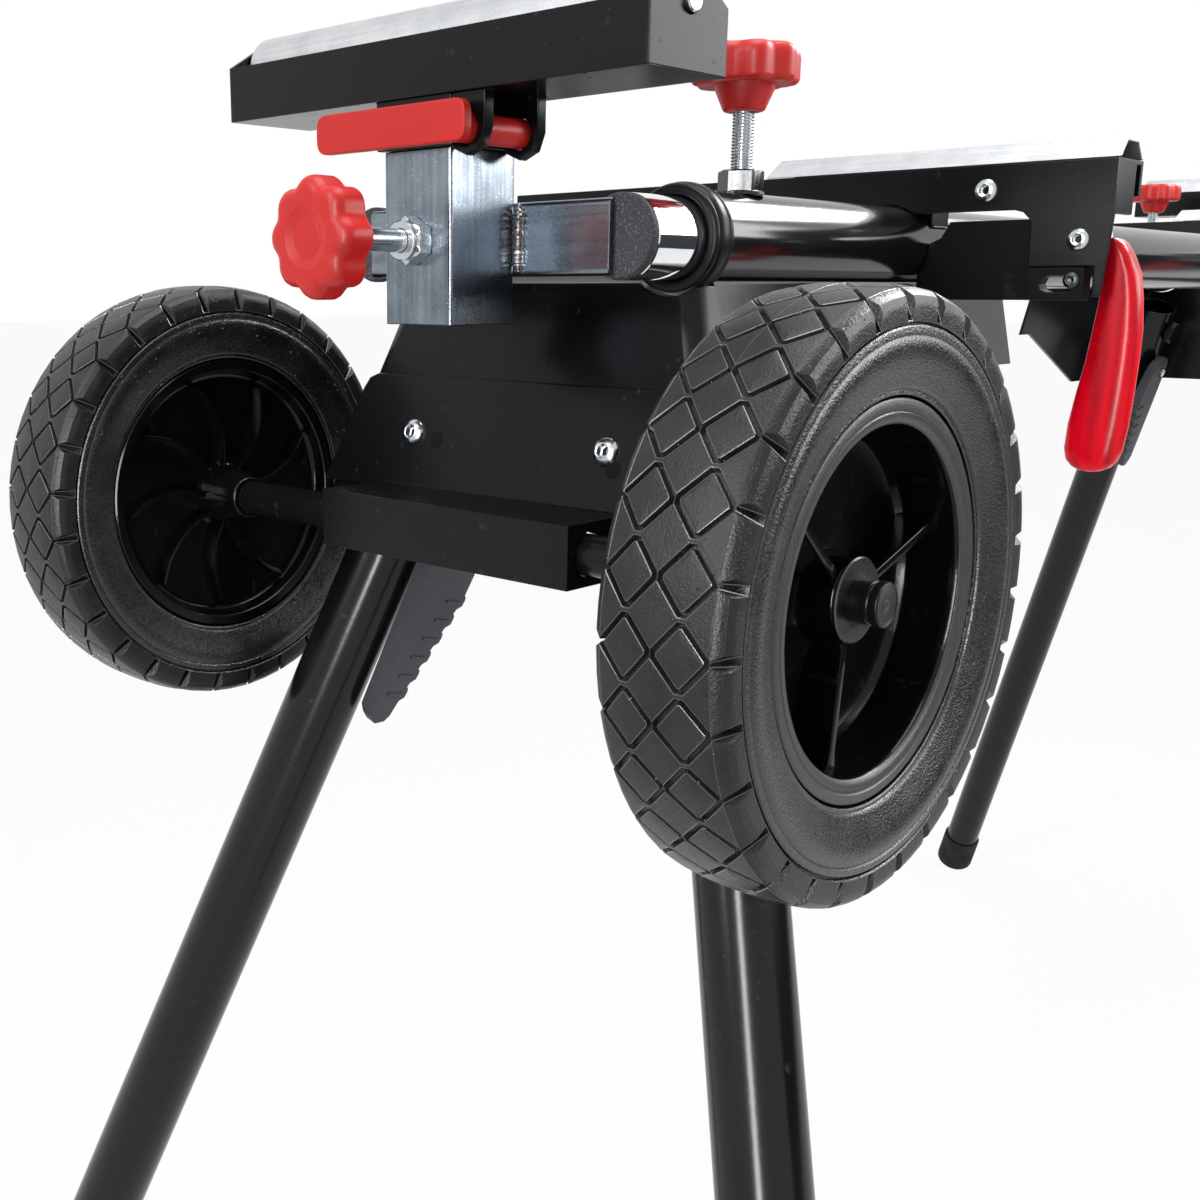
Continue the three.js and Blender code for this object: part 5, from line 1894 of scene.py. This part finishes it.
@dataclass
class Latch:
    """The ribbed plastic paddle that releases a leg, in the leg's own place."""

    inward: int
    near: float = 20.5
    thick: float = 8.0
    wide: float = 38.0
    tip: float = 22.0
    length: float = 138.0
    drop: float = 36.0
    pin_x: float = 9.0
    bore: float = 4.3
    ridged: float = 63.5
    ridges: int = 6
    rib_length: float = 11.5
    rib_half: float = 0.9
    rib_rise: float = 0.7

    def edge(self, z: float) -> float:
        """Width of the paddle at a height of its ridged part."""
        return self.wide + (z + self.ridged) / self.ridged * (self.wide - self.tip)

    def outline(self) -> list[Point2]:
        """The paddle from its side, with a ridged front edge.

        Returns:
            Its corners.
        """
        step, drop, length = self.ridged / self.ridges, self.drop, self.length
        ridges: list[Point2] = []
        for i in range(self.ridges):
            top = -self.ridged - i * step
            ridges += [(self.edge(top) - 0.2, top), (self.edge(top) + 1.2, top - step * 0.12),
                       (self.edge(top) + 1.5, top - step * 0.3), (self.edge(top) + 1.1, top - step * 0.6),
                       (self.edge(top - step * 0.8), top - step * 0.8)]
        return [(0, -drop + 6), (3, -drop + 12), (9, -drop + 15), (24, -drop + 13),
                (31, -drop + 6), (self.wide, -drop - 14), *ridges, (20.5, -length + 4.5),
                (18, -length + 1.2), (12, -length), (7.5, -length + 3.5), (4, -length + 8),
                (1, -length * 0.5)]

    def form(self) -> Form:
        """The paddle with the ribs on its outer face.

        Returns:
            Its form.
        """
        hole = circle(self.bore, 24, (self.pin_x, -self.drop))
        face = -self.inward * (self.near + self.thick)
        low, high = sorted((-self.inward * self.near, face))
        made = Form().plate(self.outline(), low, high, FACING_Y, edge=1.0, holes=[hole])
        low, high = sorted((face, face - self.inward * self.rib_rise))
        for i in range(self.ridges):
            z = -self.ridged - (i + 0.42) * (self.ridged / self.ridges)
            end = self.edge(z) - 1.0
            start, under, over = end - self.rib_length, z - self.rib_half, z + self.rib_half
            rib = rounded([(start, under), (end, under), (end, over), (start, over)], 0.85, 3)
            made.plate(rib, low, high, FACING_Y, edge=0.3)
        return made


@dataclass
class Leg:
    """One leg with its foot and release latch, in the plane in which it swings."""

    end: End
    label: str
    side: int
    radius: float = 18.0
    wall: float = 1.5
    above: float = 20.0
    lean: float = LEG_LEAN
    splay: float = 0.329
    at_x: float = 57.6
    at_y: float = 87.7
    foot_r: float = 20.4
    foot_flat: float = 12.4
    foot_round: float = 8.0
    foot_depth: float = 45.0
    sole: float = 6.0
    pin_r: float = 4.0
    pin_inside: float = 2.5
    pin_outside: float = 12.5

    @property
    def pivot(self) -> float:
        """Height of the pivot above the axle."""
        return self.end.pivot

    @property
    def tilt(self) -> float:
        """Angle of the swing plane from the vertical, in radians."""
        return math.atan(self.splay)

    @property
    def swing(self) -> float:
        """Angle of the leg in its swing plane, in radians."""
        return math.atan(self.lean * math.cos(self.tilt))

    def place(self) -> Matrix:
        """Where the leg's own place, pivot at its origin and +Z up the leg, lies in the stand.

        Returns:
            The place.
        """
        x = self.at_x + self.lean * self.pivot
        y = self.side * (self.at_y - self.splay * self.pivot)
        tilt = Matrix.Rotation(self.side * self.tilt, 4, "X")
        return self.end.place @ shift(x, y, self.pivot) @ tilt @ Matrix.Rotation(self.swing, 4, "Y")

    @property
    def reach(self) -> float:
        """Distance from the pivot to the bottom of the foot along the leg.

        Returns:
            The distance.
        """
        steep = math.cos(self.swing) * math.cos(self.tilt)
        flat = math.sqrt(1 - steep * steep)
        low = self.foot_round * (1 - steep) + self.foot_flat * flat
        return (AXLE_HEIGHT + self.pivot - low) / steep

    def foot(self) -> Form:
        """The rubber cup, its sole down at Z = 0, with grip rings.

        Returns:
            Its form.
        """
        bore = self.radius + GAP
        sole = arc((self.foot_flat, self.foot_round), self.foot_round, -90, 0, 8)
        groove = ((0.0, 0.0), (0.5, 0.6), (0.5, 1.6), (0.0, 2.2))
        rings = [(self.foot_r - deep, z + up) for z in (16.0, 21.0, 26.0) for deep, up in groove]
        profile = [(0, 0), *sole, *rings,
                   (self.foot_r, self.foot_depth - 1.2), (self.foot_r - 0.4, self.foot_depth - 0.3),
                   (self.foot_r - 1.0, self.foot_depth), (bore + 0.3, self.foot_depth),
                   (bore, self.foot_depth - 0.6), (bore, self.sole), (0, self.sole)]
        return Form().turn(profile, sides=64)

    def build(self, shop: Workshop) -> None:
        """Makes the leg's tube, foot and latch.

        Args:
            shop: Makes the objects.
        """
        name = f"{self.end.value}_leg_{self.label}"
        place, inward, reach = self.place(), -self.side, self.reach
        latch = Latch(inward)
        tube = Form().pipe(self.radius, self.wall, -reach + self.sole + GAP, self.above, place)
        root, tip = self.radius - self.pin_inside, self.radius + self.pin_outside
        low, high = sorted((inward * root, inward * tip))
        pin = shift(latch.pin_x, 0, -latch.drop) @ spin(-90, "X")
        tube.rod(self.pin_r, low, high, place @ pin, 1, 0.6)
        shop.stand_for(name + "_tube", tube, [LEG_PAINT, HARDWARE])
        foot = Form().merge(self.foot(), place @ shift(z=-reach))
        shop.stand_for(name + "_foot", foot, [FOOT_RUBBER])
        shop.stand_for(name + "_latch", Form().merge(latch.form(), place), [LATCH_PLASTIC])


@dataclass
class Saddle:
    """The folded sheet that holds rails and legs, with its pivot bolts."""

    end: End
    # A point of the bracket's leaning face; bolts and the dark discs of painted hole shade lie on it,
    # (across, up) from the axle.
    face_x: float = 50.0
    face_z: float = 100.5
    bolt_r: float = 6.2
    bolts: tuple[Point2, ...] = ((54.4, 35.2), (-54.4, 35.2))
    hole_r: float = 3.6
    holes: tuple[Point2, ...] = ((39.5, 33.0), (-59.5, 28.6))

    def on_face(self, y: float, z: float) -> Matrix:
        """Place on the bracket's leaning face, its +Z away from the sheet.

        Args:
            y: Where it lies across the stand.
            z: Height above the axle.

        Returns:
            The place in the stand.
        """
        x = self.face_x - LEG_LEAN * (self.face_z - z) - GAP - SHEET
        lean = math.degrees(math.atan(LEG_LEAN))
        return self.end.place @ shift(x, y, z) @ spin(lean, "Y") @ spin(-90, "Y")

    def build(self, shop: Workshop) -> None:
        """Makes the saddle and, at the wheels, the axle bracket with its bolts.

        Args:
            shop: Makes the objects.
        """
        name = self.end.value
        shop.stand_for(name + "_saddle", shop.eased(name + "_saddle", 0.55), [BLACK_PAINT])
        if self.end is not End.WHEEL:
            return
        shop.stand_for("axle_bracket", shop.eased("axle_bracket", 0.6), [BLACK_PAINT])
        bolts, holes = Form(), Form()
        for y, z in self.bolts:
            bolts.merge(Form().button_bolt(self.bolt_r), self.on_face(y, z))
        # Painted shade: flat near-black discs on the face stand for the shade inside holes.
        dark = [(0, 0.12), (self.hole_r, 0.12), (self.hole_r + 0.3, -0.1)]
        for y, z in self.holes:
            holes.merge(Form().turn(dark, sides=32), self.on_face(y, z))
        shop.trim("axle_bracket_bolts", "axle_bracket", bolts, [HARDWARE])
        shop.trim("axle_bracket_painted_hole_shade", "axle_bracket", holes, [PAINTED_HOLE_SHADE])


@dataclass
class Rail:
    """A rail with its clamp nut and clamp knob."""

    label: str
    side: int
    half: float = HALF_SPAN - RAIL_START
    screw_x: float = HALF_SPAN - 97.0

    def build(self, shop: Workshop) -> None:
        """Makes the rail and its knob.

        Args:
            shop: Makes the objects.
        """
        middle = shift(0, self.side * RAIL_Y, AXLE_HEIGHT + RAIL_Z)
        made = Form().pipe(RAIL_R, RAIL_WALL, -self.half, self.half, middle @ ALONG_X, sides=72)
        upright = middle @ shift(self.side * self.screw_x)
        made.nut(NUT_CORNERS, RAIL_R - 0.6, RAIL_R + NUT, SCREW_R + 0.2, upright)
        weld = [(NUT_CORNERS - 0.2, RAIL_R - 1.4), (NUT_CORNERS + 0.6, RAIL_R - 0.8),
                (NUT_CORNERS + 0.2, RAIL_R + 0.3), (NUT_CORNERS - 0.8, RAIL_R + 0.8)]
        made.turn(weld, upright, sides=36)
        shop.stand_for("rail_" + self.label, made, [TUBE_PAINT])
        knob = StarKnob(NUT + RAIL_R - TUBE_R + SCREW_FREE, threaded=True).form()
        placed = Form().merge(knob, upright @ shift(z=TUBE_R + GAP))
        shop.stand_for("rail_knob_" + self.label, placed, [KNOB_PLASTIC, HARDWARE])


# ---------------------------------------------------------------- saw brackets


@dataclass
class SawBracket:
    """A beam across the rails with its seat, sliding jaw, cam lever and grip."""

    name: str
    web_x: float
    lever_y: float = -155.0
    lever_z: float = 118.7
    lever_x: float = 15.7
    web_bolt: Point2 = (-112.8, 140.9)
    web_bolt_r: float = 5.3
    cam_bolt_r: float = 4.8
    jaw_bolt: Point2 = (-154.0, 101.6)
    jaw_bolt_r: float = 3.6
    grip_thick: float = 14.6
    grip_sides: int = 48
    grip_power: float = 0.7
    grip_sharp: float = 60.0
    # Each section of the grip: how far down, its inner and outer side, its share of the thickness.
    grip_stations: tuple[tuple[float, float, float, float], ...] = (
        (-0.9, 9.0, 10.2, 0.5), (-0.2, 8.3, 12.2, 0.78), (1.6, 7.4, 14.7, 0.94), (6.7, 6.4, 18.0, 1.0),
        (14.7, 6.2, 21.5, 1.0), (24.7, 6.5, 23.2, 1.0), (38.7, 4.8, 24.5, 1.0),
        (52.7, 3.0, 24.3, 1.0), (66.0, 0.4, 23.8, 1.0), (80.0, -1.9, 22.9, 1.0),
        (91.0, -2.5, 21.5, 1.0), (95.8, -1.4, 19.9, 0.95), (98.8, 1.2, 17.2, 0.82),
        (100.4, 4.4, 13.6, 0.6), (100.9, 7.0, 10.8, 0.3),
    )

    @property
    def place(self) -> Matrix:
        """Where the bracket's own place lies in the stand."""
        return shift(self.web_x, 0, AXLE_HEIGHT)

    def squared(self, value: float) -> float:
        """A sine or cosine, swollen so that a circle becomes a rounded square."""
        return math.copysign(abs(value) ** self.grip_power, value)

    def grip(self) -> Form:
        """The moulded grip, lofted down its length from rounded sections.

        Returns:
            Its form.
        """
        rings = []
        for down, inner, outer, share in self.grip_stations:
            ring = []
            for k in range(self.grip_sides):
                a = 2 * math.pi * k / self.grip_sides
                aside = self.squared(math.cos(a)) * (outer - inner) / 2
                depth = self.squared(math.sin(a)) * self.grip_thick / 2 * share
                out = (inner + outer) / 2 + aside
                ring.append((self.lever_x + depth, self.lever_y - out, self.lever_z - down))
            rings.append(ring)
        return Form().loft(rings)

    def web_bolts(self) -> Form:
        """Bolts on the web: the two guide bolts and the head of the cam's pin.

        Returns:
            Their form.
        """
        made = Form()
        y, z = self.web_bolt
        for radius, across, up in (
            (self.web_bolt_r, y, z), (self.web_bolt_r, -y, z),
            (self.cam_bolt_r, self.lever_y, self.lever_z),
        ):
            made.merge(Form().button_bolt(radius), shift(0.0, across, up) @ spin(-90, "Y"))
        return made

    def build(self, shop: Workshop) -> None:
        """Makes the bracket's pieces.

        Args:
            shop: Makes the objects.
        """
        name = self.name
        shop.stand_for(name + "_beam", shop.eased(name + "_beam", 0.7), [BLACK_PAINT])
        # The seat's pale zinc is partly a painted reflection of a lamp along the beam's top.
        shop.stand_for(name + "_seat", shop.eased(name + "_seat", 0.45), [PALE_ZINC_AND_PAINTED_SHEEN])
        shop.stand_for(name + "_jaw", shop.eased(name + "_jaw", 0.5), [JAW_PLASTIC])
        shop.stand_for(name + "_lever", shop.eased(name + "_lever", 0.4), [HARDWARE])
        grip = Form().merge(self.grip(), self.place)
        shop.stand_for(name + "_grip", grip, [GRIP_PLASTIC], self.grip_sharp)
        web = Form().merge(self.web_bolts(), self.place)
        shop.trim(name + "_web_bolts", name + "_beam", web, [HARDWARE])
        y, z = self.jaw_bolt
        jaw = Form().button_bolt(self.jaw_bolt_r)
        placed = Form().merge(jaw, self.place @ shift(-1.0, y, z) @ spin(-90, "Y"))
        shop.trim(name + "_jaw_bolt", name + "_jaw", placed, [DARK_STEEL])


# ---------------------------------------------------------------- studio


@dataclass(frozen=True)
class SoftBox:
    """A soft area lamp that points at the stand."""

    name: str
    place: Point3
    target: Point3
    size: Point2
    power: float
    mirrored_only: bool = False

    def build(self) -> None:
        """Makes the lamp; one that is mirrored only shows in gloss and lights nothing."""
        lamp = bpy.data.lights.new(self.name, "AREA")
        lamp.shape = "RECTANGLE"
        lamp.size, lamp.size_y = self.size
        lamp.energy = self.power
        made = in_scene(self.name, lamp)
        made.visible_camera = False
        made.visible_diffuse = not self.mirrored_only
        made.location = self.place
        aim = Vector(self.target) - Vector(self.place)
        made.rotation_euler = aim.to_track_quat("-Z", "Y").to_euler()


@dataclass(frozen=True)
class Studio:
    """Camera, floor, lamps and surroundings."""

    eye: Point3 = (-0.9459, -0.3845, 0.7176)
    heading: float = 44.82
    down: float = 12.52
    roll: float = -0.07
    focal: float = 1354.76
    middle: Point2 = (440.4, 591.1)
    image: float = 1200.0
    sensor: float = 36.0
    ambient: float = 0.45
    floor_reach: float = 30.0
    floor_glow: float = 0.92
    lamps: tuple[SoftBox, ...] = (
        SoftBox("key_lamp", (-2.0, 0.3, 1.5), (-0.5, 0.0, 0.6), (0.5, 1.6), 16.0),
        SoftBox("fill_lamp", (1.0, -1.65, 1.3), (-0.5, -0.15, 1.3), (1.6, 0.8), 26.0),
        SoftBox("top_lamp", (-0.3, -0.2, 2.6), (-0.3, 0.0, 0.6), (1.6, 1.0), 26.0),
        SoftBox("strip_lamp", (-2.5, -0.96, 0.9), (-0.5, -0.1, 0.6), (0.34, 1.7), 56.0, True),
        SoftBox("rear_lamp", (1.6, -0.5, 2.05), (-0.5, -0.08, 0.74), (1.2, 0.6), 50.0, True),
    )
    flag_width: float = 3.2
    flag_height: float = 0.9
    flag_place: Point2 = (1.15, -1.7)
    flag_turn: float = 45.0

    def camera(self) -> None:
        """Makes the camera."""
        psi, theta, phi = (math.radians(a) for a in (self.heading, self.down, self.roll))
        level = Vector((math.cos(psi), math.sin(psi), 0.0))
        right = Vector((math.sin(psi), -math.cos(psi), 0.0))
        up = Vector((0.0, 0.0, 1.0))
        ahead = level * math.cos(theta) - up * math.sin(theta)
        over = up * math.cos(theta) + level * math.sin(theta)
        side = right * math.cos(phi) + over * math.sin(phi)
        top = over * math.cos(phi) - right * math.sin(phi)
        data = bpy.data.cameras.new("camera")
        data.sensor_width = self.sensor
        data.lens = self.focal * self.sensor / self.image
        data.shift_x = 0.5 - self.middle[0] / self.image
        data.shift_y = self.middle[1] / self.image - 0.5
        data.clip_start = 0.05
        made = in_scene("camera", data)
        turn = Matrix((side, top, -ahead)).transposed().to_4x4()
        made.matrix_world = Matrix.Translation(self.eye) @ turn
        bpy.context.scene.camera = made

    def sheet(
        self, name: str, corners: Sequence[Point3], material: bpy.types.Material
    ) -> bpy.types.Object:
        """A flat sheet of the studio.

        Args:
            name: Its name.
            corners: Its four corners in metres.
            material: Its material.

        Returns:
            The sheet, linked to the scene.
        """
        mesh = bpy.data.meshes.new(name)
        mesh.from_pydata(corners, [], [(0, 1, 2, 3)])
        mesh.materials.append(material)
        return in_scene(name, mesh)

    def floor(self) -> None:
        """Makes the pale floor, which glows where it is seen or mirrored."""
        graph = Graph(bpy.data.materials.new("pale_floor"))
        cloud, grain = graph.noise(900.0, 3.0), graph.noise(3.0, 2.0)
        base = graph.mix((0.80, 0.80, 0.80), (0.83, 0.83, 0.83), cloud)
        matt = graph.add(
            "ShaderNodeBsdfPrincipled", None,
            {"Base Color": base, "Roughness": 0.8, "Normal": graph.bump(grain, 0.05)},
        )
        glow = graph.add("ShaderNodeEmission", None, {"Color": (1.0, 1.0, 1.0, 1.0), "Strength": 1.0})
        share = graph.seen * self.floor_glow
        both = graph.add(
            "ShaderNodeMixShader", None, {0: share, 1: matt.outputs[0], 2: glow.outputs[0]}
        )
        graph.add("ShaderNodeOutputMaterial", None, {"Surface": both.outputs[0]})
        reach = self.floor_reach
        corners = [(-reach, -reach, 0.0), (reach, -reach, 0.0), (reach, reach, 0.0), (-reach, reach, 0.0)]
        made = self.sheet("floor", corners, graph.owner)

    def flag(self) -> None:
        """Makes the dark card that only shiny faces mirror."""
        graph = Graph(bpy.data.materials.new("dark_card"))
        graph.finish({"Base Color": (0.03, 0.034, 0.04, 1.0), "Roughness": 0.9})
        half, high = self.flag_width / 2, self.flag_height
        corners = [(-half, 0.0, 0.01), (half, 0.0, 0.01), (half, 0.0, high), (-half, 0.0, high)]
        made = self.sheet("dark_card", corners, graph.owner)
        made.location = (*self.flag_place, 0.0)
        made.rotation_euler = (0.0, 0.0, math.radians(self.flag_turn))
        made.visible_camera = False
        made.visible_diffuse = False
        made.visible_shadow = False

    def world(self) -> None:
        """Makes the surroundings: white where they are seen or mirrored, softer as light."""
        graph = Graph(bpy.data.worlds.new("studio"))
        bpy.context.scene.world = graph.owner
        strength = graph.add("ShaderNodeMapRange", None, {0: graph.seen, 3: self.ambient, 4: 1.0})
        white = graph.add(
            "ShaderNodeBackground", None,
            {"Color": (1.0, 1.0, 1.0, 1.0), "Strength": strength.outputs[0]},
        )
        graph.add("ShaderNodeOutputWorld", None, {"Surface": white.outputs[0]})

    def build(self) -> None:
        """Sets the studio up."""
        bpy.context.scene.view_settings.view_transform = "Standard"
        self.camera()
        self.floor()
        self.flag()
        self.world()
        for lamp in self.lamps:
            lamp.build()


# ---------------------------------------------------------------- assembly


def main() -> None:
    """Builds the stand's looks and the studio."""
    logging.basicConfig(level=logging.INFO, format="%(name)s: %(message)s")
    shop = Workshop()
    tyre, rim = Tyre().form(), Rim().form()
    for label, side in SIDES:
        Wheel("wheel_" + label, side).build(shop, tyre, rim)
    for end in End:
        Saddle(end).build(shop)
        PullOutHead(end).build(shop)
        WorkSupport(end).build(shop)
        for label, side in SIDES:
            Leg(end, label, side).build(shop)
    for label, side in reversed(SIDES):
        Rail(label, side).build(shop)
    for name, web_x in BRACKETS:
        SawBracket(name, web_x).build(shop)
    Axle().build(shop)
    Studio().build()


if __name__ == "__main__":
    main()
